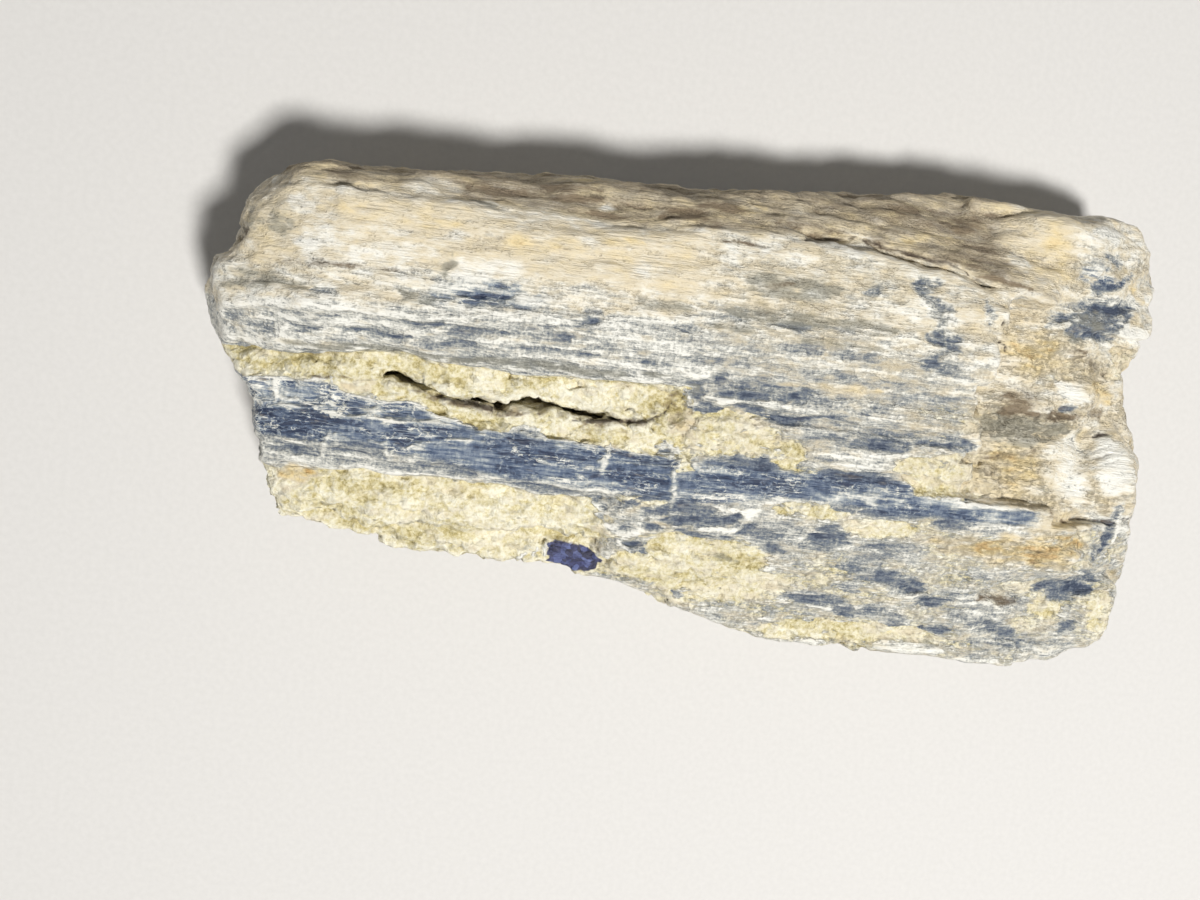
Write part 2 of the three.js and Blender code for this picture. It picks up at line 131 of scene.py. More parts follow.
@dataclass(frozen=True)
class Grain:
    """Seeded noise in space, the same on every run."""

    seed: int

    def _draw(self, cells: Array) -> Array:
        """Gives each cell of a grid its own 32 random bits.

        Args:
            cells: the cells' whole-number places, one row each.

        Returns:
            One unsigned number per row.
        """
        first, second, third = (cells[:, i].astype(np.uint32) for i in range(3))
        bits = first * np.uint32(0x8DA6B343) + second * np.uint32(0xD8163841) + third * np.uint32(0xCB1AB31F)
        bits = bits + np.uint32(self.seed * 7919 + 17)
        for shift, factor in ((13, 0x5BD1E995), (15, 0x27D4EB2D), (16, 0x165667B1)):
            bits = (bits ^ (bits >> np.uint32(shift))) * np.uint32(factor)
        return bits ^ (bits >> np.uint32(15))

    @staticmethod
    def _spread(bits: Array) -> Array:
        """Cuts random bits into three numbers from -1 to 1 a row."""
        return np.stack([(bits >> np.uint32(s) & np.uint32(1023)) / 511.5 - 1.0 for s in (0, 10, 20)], axis=1)

    def at(self, points: Array, spacing: Triple) -> Array:
        """Smooth noise, about -0.8 to 0.8.

        Args:
            points: where, one row each.
            spacing: the noise's grain along X, Y and Z.

        Returns:
            One value per row.
        """
        places = points / np.array(spacing)
        base = np.floor(places)
        part = places - base
        fade = part ** 3 * (part * (part * 6.0 - 15.0) + 10.0)
        cells = base.astype(np.int64)
        total = np.zeros(len(points))
        for corner in np.ndindex(2, 2, 2):
            step = np.array(corner)
            slope = self._spread(self._draw(cells + step))
            weight = np.prod(np.where(step == 1, fade, 1.0 - fade), axis=1)
            total += weight * ((part - step) * slope).sum(axis=1)
        return total

    def layered(self, points: Array, spacing: Triple, layers: int) -> Array:
        """Noise with finer layers of half the strength over it.

        Args:
            points: where, one row each.
            spacing: the coarsest layer's grain along X, Y and Z.
            layers: how many layers there are.

        Returns:
            One value per row, about -1 to 1.
        """
        total = np.zeros(len(points))
        for layer in range(layers):
            fine = tuple(s / 2 ** layer for s in spacing)
            total += Grain(self.seed + 101 * layer).at(points, fine) / 2 ** layer
        return total

    def lumps(self, points: Array, size: float) -> tuple[Array, Array, Array]:
        """Close-packed broken grains.

        Args:
            points: where, one row each.
            size: the usual width of a grain.

        Returns:
            Each row's height on its grain, 1 in the middle and 0 in the joint, the grain's own value from -1
            to 1, and the height of the grain's tilted face.
        """
        places = points / size
        cells = np.floor(places).astype(np.int64)
        nearest = np.full(len(points), TOO_FAR)
        second = np.full(len(points), TOO_FAR)
        owner = np.zeros(len(points))
        tilt = np.zeros(len(points))
        for offset in np.ndindex(3, 3, 3):
            cell = cells + np.array(offset) - 1
            spread = self._spread(self._draw(cell))
            away = places - cell - 0.5 - LUMP_JITTER * spread
            distance = np.linalg.norm(away, axis=1)
            closer = distance < nearest
            second = np.where(closer, nearest, np.minimum(second, distance))
            owner = np.where(closer, spread[:, 0], owner)
            tilt = np.where(closer, (away * spread[:, ::-1]).sum(axis=1), tilt)
            nearest = np.where(closer, distance, nearest)
        return np.clip((second - nearest) / LUMP_JOINT, 0.0, 1.0), owner, tilt


@dataclass(frozen=True)
class Coats:
    """How much of each coat a place of the stone carries, from 0 to 1."""

    blue: float = 0.0
    quartz: float = 0.0
    stain: float = 0.0
    # Real dirt, and painted shade in hollows, cracks and on the back slope, in one brown coat
    dirt_and_shade: float = 0.0
    olive: float = 0.0
    face: float = 0.0


COAT_NAMES = tuple(f.name for f in fields(Coats))
CRACK_AND_SHADOW_NAME = "crack_and_shadow"
INDIGO_NAME = "indigo"
HOLLOW_NAME = "hollow"
STROKE_TAPER = 0.6
TAPER_POWER = 3
DEEPEST_BLUE = 0.95


class Mark(Enum):
    """What a stroke lays on the stone: the coat and how far it is raised or lowered."""

    BLUE = ("blue", 0.28)
    WHITE = ("blue", -0.5)
    QUARTZ = ("quartz", 1.0)
    TAN = ("stain", 0.6)
    ORANGE = ("stain", 0.75)
    BROWN = ("dirt_and_shade", 0.8)
    OLIVE = ("olive", 1.0)
    CLEAVED = ("face", 1.0)
    # A crack: sunk into the surface, with its shadow painted in
    CRACK_AND_SHADOW = (CRACK_AND_SHADOW_NAME, 1.0)
    INDIGO = (INDIGO_NAME, 1.0)


# Coats that a mark takes away where it lies
CLEARED = {
    Mark.TAN: ("blue", "dirt_and_shade", "olive"),
    Mark.ORANGE: ("blue",),
    Mark.BLUE: ("quartz", "stain"),
    Mark.WHITE: ("quartz", "stain", "dirt_and_shade", "olive"),
    Mark.INDIGO: ("stain", "dirt_and_shade"),
}
CRISP = (Mark.CRACK_AND_SHADOW, Mark.INDIGO, Mark.WHITE)
SOFT_SPREAD = 1.4
SOFT_FALLOFF = 2.0


@dataclass(frozen=True)
class Stroke:
    """A streak, patch or crack of the real stone, along a line in plan; a crack's stroke also paints its
    shadow.
    """

    mark: Mark
    half_width: float
    strength: float
    path: Line

    def share(self, x: Array, y: Array) -> Array:
        """How fully the stroke covers each place.

        Args:
            x: the places along the blades.
            y: the places across the blades.

        Returns:
            From 0 outside the stroke to its strength in the middle.
        """
        found = np.zeros(len(x))
        corners = np.array(self.path)
        crisp = self.mark in CRISP
        reach = self.half_width * (1.0 if crisp else SOFT_SPREAD)
        low = corners.min(axis=0) - reach
        high = corners.max(axis=0) + reach
        near = (x > low[0]) & (x < high[0]) & (y > low[1]) & (y < high[1])
        if not near.any():
            return found
        spots = np.stack([x[near], y[near]], axis=1)
        lengths = np.linalg.norm(np.diff(corners, axis=0), axis=1)
        passed = 0.0
        best = np.full(len(spots), np.inf)
        for start, end, length in zip(corners[:-1], corners[1:], lengths):
            run = end - start
            along = np.clip(((spots - start) @ run) / (run @ run), 0.0, 1.0)
            distance = np.linalg.norm(spots - start - along[:, None] * run, axis=1)
            place = 2.0 * (passed + along * length) / lengths.sum() - 1.0
            width = reach * (1.0 - STROKE_TAPER * np.abs(place) ** TAPER_POWER)
            best = np.minimum(best, distance / width)
            passed += length
        falloff = 1.0 if crisp else SOFT_FALLOFF
        found[near] = np.clip(1.0 - best ** 2, 0.0, 1.0) ** falloff * self.strength
        return found


Marks = dict[Mark, tuple[tuple[float, float, Line], ...]]
BAND_END_SOFTNESS = 3.0


@dataclass(frozen=True)
class Band:
    """A strip of the top between two lines in plan, with the coats that it carries."""

    back: Line
    front: Line
    left: float
    right: float
    coats: Coats
    soft: float = 0.5

    def share(self, x: Array, y: Array) -> Array:
        """How far each place belongs to the band.

        Args:
            x: the places along the blades.
            y: the places across the blades.

        Returns:
            From 0 outside to 1 inside.
        """
        back = np.interp(x, *zip(*self.back))
        front = np.interp(x, *zip(*self.front))
        across = smooth_step(-self.soft, self.soft, back - y) * smooth_step(-self.soft, self.soft, y - front)
        ends = BAND_END_SOFTNESS * self.soft
        return across * smooth_step(-ends, ends, x - self.left) * smooth_step(-ends, ends, self.right - x)


# Lines in plan that part the bands of the top, from the back edge to the front edge
FAR_BACK: Line = ((-70.0, 40.0), (70.0, 40.0))
SLOPE_LIMIT: Line = (
    (-66.0, 22.8), (-50.3, 22.7), (-40.0, 22.3), (-30.7, 22.6), (-13.9, 22.6), (-4.5, 22.9),
    (6.6, 23.5), (12.5, 24.6), (20.1, 23.3), (30.0, 21.4), (37.0, 20.4), (44.0, 18.5),
)
GROOVE: Line = (
    (-66.0, 12.6), (-58.6, 13.2), (-48.3, 14.0), (-36.7, 14.2), (-20.0, 15.0), (-7.0, 14.4), (20.0, 13.2),
)
ROWS_TOP: Line = ((-66.0, 8.0), (-48.0, 8.8), (-30.0, 10.6), (-14.0, 11.4), (20.0, 10.5))
GREY_LINE: Line = ((-66.0, 2.8), (-57.0, 3.4), (-41.0, 4.9), (-16.0, 5.3), (-5.0, 5.2), (32.0, 6.0))
SEAM_TOP: Line = ((-66.0, 2.2), (-57.2, 2.6), (-40.7, 4.1), (-26.1, 3.2), (-5.2, 3.9), (10.0, 2.0))
SUB_BLADE_TOP: Line = ((-66.0, -0.2), (-48.5, -0.5), (-44.0, -1.6), (-36.0, -2.6), (-30.0, -4.4))
BLUE_TOP: Line = (
    (-66.0, -3.6), (-56.7, -4.0), (-37.5, -4.2), (-27.8, -4.2), (-15.4, -5.2), (-5.2, -5.6),
    (14.0, -5.6), (24.0, -6.0), (46.0, -7.8),
)
BLUE_FOOT: Line = (
    (-66.0, -7.6), (-55.6, -7.6), (-40.8, -7.4), (-37.0, -8.8), (-27.3, -9.3), (-14.7, -10.2),
    (-4.2, -10.9), (11.0, -9.4), (46.0, -9.8),
)
FRINGE_FOOT: Line = ((-66.0, -11.6), (-55.2, -11.7), (-39.3, -10.8), (-27.0, -10.9), (-14.3, -11.9))
FAR_FRONT: Line = ((-70.0, -40.0), (70.0, -40.0))

# Where bands end along the blades
LEFT_END = -80.0
RIGHT_END = 80.0
SUB_BLADE_END = -32.0
LEDGE = -13.4
SEAM_END = -5.0
CROSS_FRACTURE = 32.0
SHOULDER = 35.0
KNOB_START = 43.0
BLUE_END = 44.0

BANDS = (
    # The back slope: most of its brown coat is painted shade, as the slope faces away from the light
    Band(FAR_BACK, SLOPE_LIMIT, LEFT_END, RIGHT_END, Coats(blue=0.14, stain=0.46, dirt_and_shade=0.60, olive=0.25)),
    Band(
        FAR_BACK, SLOPE_LIMIT, SHOULDER, RIGHT_END,
        Coats(blue=0.06, stain=0.46, dirt_and_shade=0.16, olive=0.08), 1.5,
    ),
    Band(SLOPE_LIMIT, GROOVE, LEFT_END, SEAM_END, Coats(blue=0.02, stain=0.42, dirt_and_shade=0.12, olive=0.04), 1.2),
    Band(
        SLOPE_LIMIT, GROOVE, SEAM_END, CROSS_FRACTURE,
        Coats(blue=0.20, stain=0.34, dirt_and_shade=0.08, olive=0.34), 1.2,
    ),
    Band(GROOVE, ROWS_TOP, LEFT_END, SEAM_END, Coats(blue=0.22, stain=0.30, olive=0.30), 1.0),
    Band(ROWS_TOP, GREY_LINE, LEFT_END, SEAM_END, Coats(blue=0.29, stain=0.08), 1.0),
    Band(GROOVE, ROWS_TOP, SEAM_END, CROSS_FRACTURE, Coats(blue=0.30, stain=0.26, olive=0.32), 1.0),
    Band(ROWS_TOP, GREY_LINE, SEAM_END, CROSS_FRACTURE, Coats(blue=0.38, stain=0.22, olive=0.26), 1.0),
    Band(GREY_LINE, BLUE_TOP, SEAM_END, CROSS_FRACTURE, Coats(blue=0.44, quartz=0.32, stain=0.22), 0.8),
    Band(GREY_LINE, SEAM_TOP, LEFT_END, SEAM_END, Coats(blue=0.42, olive=0.30), 0.4),
    Band(SEAM_TOP, BLUE_TOP, LEFT_END, SEAM_END, Coats(blue=0.10, quartz=1.0, stain=0.10), 0.35),
    Band(SUB_BLADE_TOP, BLUE_TOP, LEFT_END, SUB_BLADE_END, Coats(blue=0.54, face=1.0), 0.4),
    Band(BLUE_TOP, BLUE_FOOT, LEFT_END, SEAM_END, Coats(blue=0.77, face=1.0), 0.4),
    Band(BLUE_TOP, BLUE_FOOT, SEAM_END, BLUE_END, Coats(blue=0.59, stain=0.04, face=0.9), 0.6),
    Band(BLUE_FOOT, FRINGE_FOOT, LEFT_END, LEDGE, Coats(blue=0.42, quartz=0.15), 0.7),
    Band(FRINGE_FOOT, FAR_FRONT, LEFT_END, LEDGE, Coats(blue=0.05, quartz=1.0, stain=0.10), 0.6),
    Band(BLUE_FOOT, FAR_FRONT, LEDGE, RIGHT_END, Coats(blue=0.42, quartz=0.44, stain=0.18), 0.6),
    Band(
        SLOPE_LIMIT, BLUE_TOP, CROSS_FRACTURE, RIGHT_END,
        Coats(blue=0.22, quartz=0.36, stain=0.36, dirt_and_shade=0.20), 0.9,
    ),
    Band(FAR_BACK, GROOVE, KNOB_START, RIGHT_END, Coats(blue=0.22, quartz=0.25, stain=0.30, dirt_and_shade=0.06), 0.9),
)

# Marks picked on the photograph: half the width in millimetres, the strength, and the line in pixels
PHOTO_MARKS: Marks = {
    # Cream quartz between the blades
    Mark.QUARTZ: (
        (2.4, 0.9, ((616, 562), (652, 563))),
        (2.0, 0.9, ((652, 545), (692, 549))),
        (3.0, 1.2, ((668, 430), (720, 433), (772, 441))),
        (1.7, 0.9, ((774, 452), (802, 456))),
        (2.4, 0.9, ((900, 466), (930, 472), (968, 470))),
        (2.2, 0.9, ((916, 487), (950, 490), (984, 488))),
        (1.2, 0.9, ((676, 468), (693, 471))),
        (1.2, 0.7, ((776, 507), (816, 512), (846, 514))),
        (1.4, 0.8, ((848, 525), (880, 528), (914, 530))),
        (3.2, 0.9, ((660, 552), (700, 554), (760, 560))),
        (3.0, 0.9, ((648, 572), (700, 578), (772, 582))),
        (1.7, 1.0, ((764, 628), (830, 627), (888, 631))),
        (1.2, 0.7, ((1030, 604), (1046, 610), (1062, 606))),
        (1.8, 1.1, ((1101, 596), (1100, 614), (1100, 630))),
        (1.8, 0.9, ((1112, 352), (1126, 364), (1108, 376))),
    ),
    # Tan stain
    Mark.TAN: (
        (1.0, 0.6, ((276, 480), (294, 489))),
        (1.0, 0.5, ((342, 384), (374, 385))),
        (1.2, 0.6, ((488, 406), (514, 408))),
        (0.8, 0.3, ((322, 205), (364, 206))),
        (0.7, 0.3, ((328, 222), (364, 226))),
        (0.9, 0.35, ((506, 240), (540, 244), (564, 246))),
        (0.6, 0.5, ((596, 240), (644, 242))),
        (1.2, 0.4, ((416, 222), (454, 226))),
        (0.8, 0.5, ((742, 208), (764, 208))),
        (0.6, 0.5, ((780, 384), (830, 388), (882, 392))),
        (1.6, 0.5, ((672, 418), (694, 424))),
        (2.6, 0.95, ((1036, 562), (1060, 556), (1076, 545))),
        (0.8, 0.5, ((1109, 570), (1115, 582))),
        (2.4, 0.30, ((1062, 446), (1058, 470), (1070, 500))),
        (3.2, 0.5, ((998, 450), (1020, 468), (1008, 490))),
        (0.9, 0.4, ((900, 240), (930, 238), (962, 240))),
        (2.0, 0.25, ((1046, 252), (1056, 240), (1062, 262))),
        (3.0, 0.6, ((1008, 346), (1030, 356), (1052, 346))),
    ),
    # Orange iron stain
    Mark.ORANGE: (
        (1.5, 1.2, ((282, 472), (296, 474), (310, 472))),
        (1.0, 0.4, ((670, 430), (692, 434))),
        (0.9, 0.2, ((598, 252), (620, 256), (638, 258))),
        (1.9, 0.45, ((936, 540), (962, 546), (986, 546))),
        (1.0, 0.45, ((1062, 536), (1078, 546))),
        (1.5, 0.5, ((1094, 384), (1110, 402))),
        (1.0, 0.55, ((1130, 284), (1142, 302))),
    ),
    # Grey lines and olive patches
    Mark.OLIVE: (
        (0.4, 0.8, ((542, 547), (536, 559))),
        (0.45, 0.7, ((521, 549), (531, 543))),
        (0.4, 0.5, ((511, 556), (525, 563))),
        (0.8, 0.5, ((232, 270), (260, 274), (284, 276))),
        (0.7, 0.5, ((222, 284), (270, 282), (312, 286))),
        (0.5, 0.6, ((228, 334), (254, 339))),
        (0.6, 0.8, ((262, 338), (300, 342), (340, 346), (380, 350), (420, 356), (474, 360))),
        (0.7, 0.7, ((470, 360), (540, 364), (600, 372), (668, 376))),
        (0.9, 0.7, ((653, 281), (666, 282))),
        (0.6, 0.5, ((636, 299), (660, 305), (692, 308))),
        (0.6, 0.5, ((398, 290), (420, 299), (440, 300))),
        (1.6, 0.4, ((266, 222), (290, 228), (304, 231))),
        (0.8, 0.6, ((243, 234), (260, 222))),
        (0.8, 0.5, ((320, 174), (354, 183))),
        (0.4, 0.9, ((476, 201), (495, 208), (508, 211))),
        (1.7, 0.6, ((752, 280), (785, 288), (836, 291))),
        (0.9, 0.8, ((728, 308), (760, 315), (800, 320), (838, 324))),
        (0.9, 0.6, ((840, 323), (870, 328), (897, 332))),
        (0.6, 0.5, ((712, 326), (762, 329))),
        (0.5, 0.5, ((800, 340), (842, 344), (886, 350))),
        (1.2, 0.6, ((688, 386), (700, 394))),
        (1.0, 0.5, ((780, 492), (800, 485))),
        (0.8, 0.7, ((702, 556), (716, 557), (738, 563))),
        (0.7, 0.5, ((902, 640), (938, 643))),
        (0.4, 0.8, ((1094, 434), (1110, 436))),
        (2.6, 1.1, ((984, 430), (1020, 432), (1052, 431))),
        (2.2, 0.4, ((1070, 320), (1100, 320), (1130, 324))),
        (1.8, 0.8, ((990, 424), (1035, 427), (1078, 432))),
        (1.6, 0.3, ((1072, 308), (1088, 322), (1104, 332))),
        (0.6, 0.9, ((1064, 332), (1086, 346))),
    ),
    # Brown: real dirt, with painted shade in cracks, along the fissure, in a recess and on the back slope
    Mark.BROWN: (
        (0.4, 0.6, ((598, 524), (602, 541))),
        (0.25, 0.8, ((298, 374), (318, 377), (335, 376), (360, 380), (387, 374))),
        (0.25, 0.6, ((378, 369), (390, 379))),
        (0.5, 0.7, ((250, 378), (274, 378))),
        (0.3, 0.6, ((254, 390), (274, 388))),
        # The next five strokes are painted shade along the fissure's walls
        (0.8, 0.6, ((568, 416), (600, 418), (624, 420))),
        (0.9, 0.7, ((622, 420), (648, 422))),
        (0.9, 0.7, ((650, 414), (666, 404), (676, 392))),
        (0.8, 0.6, ((536, 405), (562, 414))),
        (0.35, 0.6, ((677, 402), (677, 418))),
        (0.35, 0.6, ((238, 258), (280, 260), (330, 264), (380, 268), (424, 270))),
        (0.5, 0.7, ((234, 240), (254, 226))),
        (0.5, 0.36, ((466, 188), (500, 192), (524, 192))),
        (0.5, 0.48, ((542, 186), (580, 190), (604, 192))),
        (0.4, 0.6, ((556, 197), (606, 199))),
        (0.5, 0.42, ((586, 211), (624, 219))),
        (1.0, 0.48, ((664, 215), (685, 213), (704, 217))),
        (0.8, 0.42, ((620, 225), (648, 228))),
        (0.7, 0.36, ((696, 222), (724, 226))),
        (0.7, 0.42, ((696, 206), (748, 211))),
        (0.5, 0.42, ((776, 222), (804, 228))),
        # The next two strokes are painted shade under the overhanging crack at the back right
        (0.8, 0.54, ((814, 239), (835, 236), (850, 234))),
        (0.5, 0.54, ((852, 238), (880, 244), (900, 250), (922, 257))),
        (0.22, 0.9, ((722, 241), (745, 244), (765, 249), (792, 255))),
        (0.2, 0.6, ((798, 256), (832, 260))),
        (0.7, 0.36, ((890, 212), (905, 214), (920, 212))),
        (0.5, 0.5, ((766, 287), (794, 285))),
        (0.5, 0.6, ((745, 313), (778, 313))),
        (0.4, 0.7, ((781, 430), (791, 432))),
        (0.8, 0.9, ((974, 597), (1000, 600), (1022, 604))),
        (0.8, 0.7, ((986, 458), (1014, 454), (1044, 452))),
        (1.4, 0.5, ((988, 470), (1004, 477), (1008, 488))),
        (0.6, 1.0, ((980, 407), (1020, 412), (1058, 416), (1084, 416))),
        (1.4, 0.7, ((998, 400), (1034, 402))),
        # Painted shadow in the recess at the right end
        (1.1, 0.6, ((1088, 406), (1102, 416))),
        (1.0, 0.30, ((936, 222), (968, 226), (988, 222))),
        (0.5, 0.42, ((952, 228), (972, 230))),
        # Painted shade along the overhanging crack at the back right
        (0.4, 0.8, ((970, 275), (1000, 281), (1032, 289))),
        (1.3, 0.7, ((1070, 350), (1090, 364), (1104, 374))),
        (0.5, 0.7, ((972, 278), (986, 288))),
        (0.9, 0.6, ((995, 412), (1030, 414), (1070, 420))),
        (1.6, 0.5, ((575, 430), (620, 434), (665, 438))),
        (0.5, 0.8, ((1048, 512), (1057, 518), (1066, 524))),
        (1.6, 0.25, ((330, 172), (348, 176), (366, 182))),
        (0.9, 0.3, ((320, 204), (350, 205), (380, 207))),
        (1.0, 0.3, ((500, 237), (535, 243), (568, 250))),
        (0.3, 0.8, ((1000, 566), (1020, 566), (1050, 562))),
        (0.3, 0.7, ((1010, 549), (1030, 552), (1046, 552))),
    ),
    # Fresh blue rows, blades and flakes
    Mark.BLUE: (
        (1.6, 1.1, ((1060, 318), (1084, 310), (1115, 306), (1132, 312))),
        (1.5, 1.0, ((1066, 328), (1090, 330), (1122, 328))),
        (1.3, 1.0, ((282, 390), (302, 391))),
        (1.6, 1.2, ((306, 391), (318, 387), (330, 389))),
        (1.5, 0.9, ((344, 401), (362, 402), (378, 404))),
        (1.6, 0.9, ((384, 411), (405, 411), (430, 413))),
        (0.8, 0.7, ((260, 394), (271, 392))),
        (1.0, 1.1, ((256, 406), (278, 409))),
        (2.0, 1.7, ((282, 416), (300, 420), (316, 424), (329, 425))),
        (1.7, 1.5, ((333, 424), (352, 426), (370, 430), (386, 433))),
        (1.6, 0.7, ((388, 428), (410, 430), (430, 430), (454, 430))),
        (0.8, 0.9, ((288, 448), (298, 449))),
        (1.3, 0.5, ((338, 448), (360, 450), (382, 452))),
        (1.6, 0.8, ((428, 450), (458, 452))),
        (1.0, 0.8, ((418, 461), (450, 464), (482, 467))),
        (2.0, 1.2, ((462, 448), (490, 450), (514, 447))),
        (1.8, 1.6, ((496, 462), (525, 468), (548, 470))),
        (1.9, 1.5, ((512, 438), (528, 434), (546, 444))),
        (0.7, 1.2, ((462, 428), (477, 432))),
        (1.7, 1.4, ((543, 452), (570, 456), (594, 462))),
        (1.2, 1.4, ((546, 466), (575, 470), (598, 473))),
        (1.2, 0.7, ((516, 481), (545, 488), (578, 491))),
        (2.6, 1.4, ((612, 468), (640, 470), (664, 467))),
        (2.0, 1.4, ((640, 486), (664, 489))),
        (1.5, 1.4, ((658, 453), (668, 447), (673, 458))),
        (1.8, 1.1, ((679, 482), (697, 485))),
        (1.0, 0.8, ((595, 494), (601, 516))),
        (0.5, 1.2, ((626, 501), (638, 502))),
        (0.5, 1.1, ((638, 508), (655, 512), (670, 514))),
        (0.5, 1.2, ((618, 528), (634, 530))),
        (0.6, 1.0, ((648, 525), (660, 528))),
        (1.1, 0.9, ((628, 543), (644, 553))),
        (0.5, 0.8, ((310, 289), (332, 292))),
        (0.4, 0.9, ((226, 314), (240, 316))),
        (0.4, 0.9, ((320, 315), (334, 317))),
        (0.7, 1.0, ((250, 322), (275, 325), (300, 327), (322, 328))),
        (0.7, 1.5, ((342, 330), (365, 333), (390, 335), (408, 336))),
        (0.5, 1.0, ((402, 320), (425, 324), (446, 322))),
        (0.5, 1.1, ((446, 332), (474, 334))),
        (0.5, 1.1, ((442, 343), (478, 344))),
        (1.4, 1.0, ((482, 292), (505, 288), (518, 288))),
        (0.9, 0.9, ((512, 305), (530, 302), (548, 303))),
        (0.6, 1.1, ((456, 328), (480, 332), (508, 333))),
        (0.5, 1.0, ((542, 325), (566, 328))),
        (0.6, 1.0, ((545, 336), (568, 338))),
        (0.5, 1.2, ((580, 312), (600, 312))),
        (0.5, 1.1, ((582, 322), (602, 320))),
        (0.5, 0.8, ((612, 314), (630, 318))),
        (0.7, 0.8, ((676, 328), (696, 330))),
        (0.6, 1.1, ((640, 362), (668, 366))),
        (0.4, 0.7, ((500, 345), (560, 350), (600, 354))),
        (0.9, 0.8, ((864, 292), (880, 292), (894, 290))),
        (0.5, 0.9, ((782, 324), (812, 329))),
        (0.7, 0.6, ((784, 346), (822, 353))),
        (1.6, 1.7, ((690, 385), (699, 395))),
        (0.8, 1.2, ((714, 376), (728, 374))),
        (1.7, 0.6, ((712, 386), (740, 386), (768, 389))),
        (0.6, 1.4, ((716, 396), (732, 396))),
        (0.7, 1.5, ((738, 396), (752, 398), (768, 399))),
        (1.1, 1.5, ((794, 396), (802, 396), (808, 398))),
        (1.2, 0.8, ((768, 394), (792, 395))),
        (1.0, 0.5, ((808, 395), (852, 397))),
        (0.8, 1.4, ((696, 406), (718, 409))),
        (0.8, 1.2, ((732, 406), (762, 411))),
        (0.7, 0.7, ((760, 416), (790, 422), (802, 419))),
        (0.3, 1.0, ((798, 418), (830, 416), (846, 416))),
        (0.5, 0.9, ((812, 434), (842, 439))),
        (1.2, 1.3, ((850, 446), (868, 443), (886, 443), (908, 446))),
        (0.5, 0.8, ((906, 445), (942, 444))),
        (0.9, 1.4, ((946, 444), (962, 446), (974, 448))),
        (0.7, 0.9, ((734, 458), (744, 457))),
        (0.6, 0.9, ((762, 460), (770, 457))),
        (1.4, 0.9, ((704, 466), (732, 466), (772, 469))),
        (2.0, 1.6, ((738, 486), (762, 485), (780, 484))),
        (1.3, 1.1, ((698, 486), (720, 484), (738, 484))),
        (1.3, 1.3, ((812, 486), (835, 481), (850, 484), (862, 491))),
        (1.0, 1.0, ((806, 495), (832, 498))),
        (1.3, 1.3, ((852, 476), (885, 483), (902, 493))),
        (1.3, 1.0, ((832, 506), (862, 504))),
        (1.6, 1.5, ((866, 508), (900, 508), (932, 509))),
        (1.6, 1.3, ((928, 510), (956, 513), (978, 516))),
        (0.9, 1.0, ((932, 524), (964, 526))),
        (1.0, 1.2, ((660, 509), (690, 505), (714, 508))),
        (1.0, 1.4, ((664, 521), (690, 518), (712, 520), (738, 517))),
        (0.9, 1.6, ((728, 517), (739, 514))),
        (0.8, 1.0, ((676, 530), (705, 534), (732, 538))),
        (0.9, 1.3, ((740, 531), (754, 524))),
        (1.1, 1.1, ((752, 534), (778, 536))),
        (0.9, 0.9, ((762, 544), (786, 551))),
        (1.3, 1.2, ((808, 537), (825, 534), (844, 535))),
        (1.2, 1.1, ((800, 546), (825, 543), (846, 541))),
        (1.6, 0.6, ((862, 548), (890, 548), (914, 552))),
        (2.0, 0.6, ((842, 568), (866, 572), (886, 574))),
        (1.4, 1.2, ((878, 574), (896, 580), (920, 588))),
        (0.9, 1.1, ((914, 598), (934, 602), (948, 600))),
        (0.7, 0.9, ((832, 584), (862, 590))),
        (1.1, 1.3, ((784, 596), (810, 598), (832, 603), (852, 609))),
        (0.9, 0.9, ((836, 612), (856, 614))),
        (0.9, 1.0, ((860, 610), (882, 609))),
        (0.9, 1.0, ((882, 620), (908, 625))),
        (0.9, 1.0, ((922, 628), (948, 631))),
        (0.8, 0.9, ((672, 592), (684, 595))),
        (1.4, 0.7, ((966, 626), (986, 622), (1012, 632))),
        (1.1, 0.8, ((984, 640), (1022, 641))),
        (1.3, 1.2, ((1062, 632), (1072, 622))),
        (1.5, 1.6, ((1036, 586), (1060, 588), (1088, 589))),
        (0.8, 0.9, ((1080, 570), (1094, 580))),
        (1.0, 0.6, ((1092, 562), (1100, 546))),
        (1.0, 0.9, ((980, 511), (1004, 516), (1030, 518))),
        (0.9, 1.1, ((1060, 392), (1072, 396))),
        (0.8, 1.2, ((1060, 408), (1074, 408))),
        (2.3, 0.7, ((1080, 276), (1104, 269), (1118, 262))),
        (1.0, 2.0, ((1094, 287), (1108, 288), (1122, 285))),
        (0.5, 1.2, ((1122, 283), (1131, 274))),
        (0.9, 1.0, ((1078, 334), (1100, 328), (1128, 320))),
        (0.7, 1.2, ((1085, 312), (1110, 312), (1132, 306))),
        (1.3, 1.0, ((1050, 324), (1062, 312))),
        (0.5, 1.2, ((1072, 326), (1092, 334), (1110, 341))),
        (0.5, 1.1, ((1080, 318), (1096, 327))),
        (1.3, 0.9, ((916, 276), (922, 286), (926, 296))),
        (0.9, 1.0, ((932, 282), (940, 286))),
        (1.0, 1.2, ((938, 300), (946, 310), (953, 320))),
        (0.9, 1.0, ((918, 283), (932, 305), (941, 320), (944, 345), (936, 365))),
        (1.0, 1.5, ((928, 336), (940, 338))),
        (1.2, 1.3, ((957, 338), (950, 348), (956, 356))),
        (1.1, 1.5, ((928, 360), (938, 364))),
        (0.9, 0.7, ((946, 366), (956, 372))),
        (0.6, 0.9, ((984, 300), (990, 312), (988, 326))),
    ),
    # Clear cleavage under the crust
    Mark.CLEAVED: (
    ),
    # White flakes, cracks across the blue blades and bare facets, and one painted glint
    Mark.WHITE: (
        (0.4, 0.45, ((275, 376), (276, 390), (273, 402))),
        (0.3, 0.5, ((280, 399), (300, 398), (312, 404), (330, 406))),
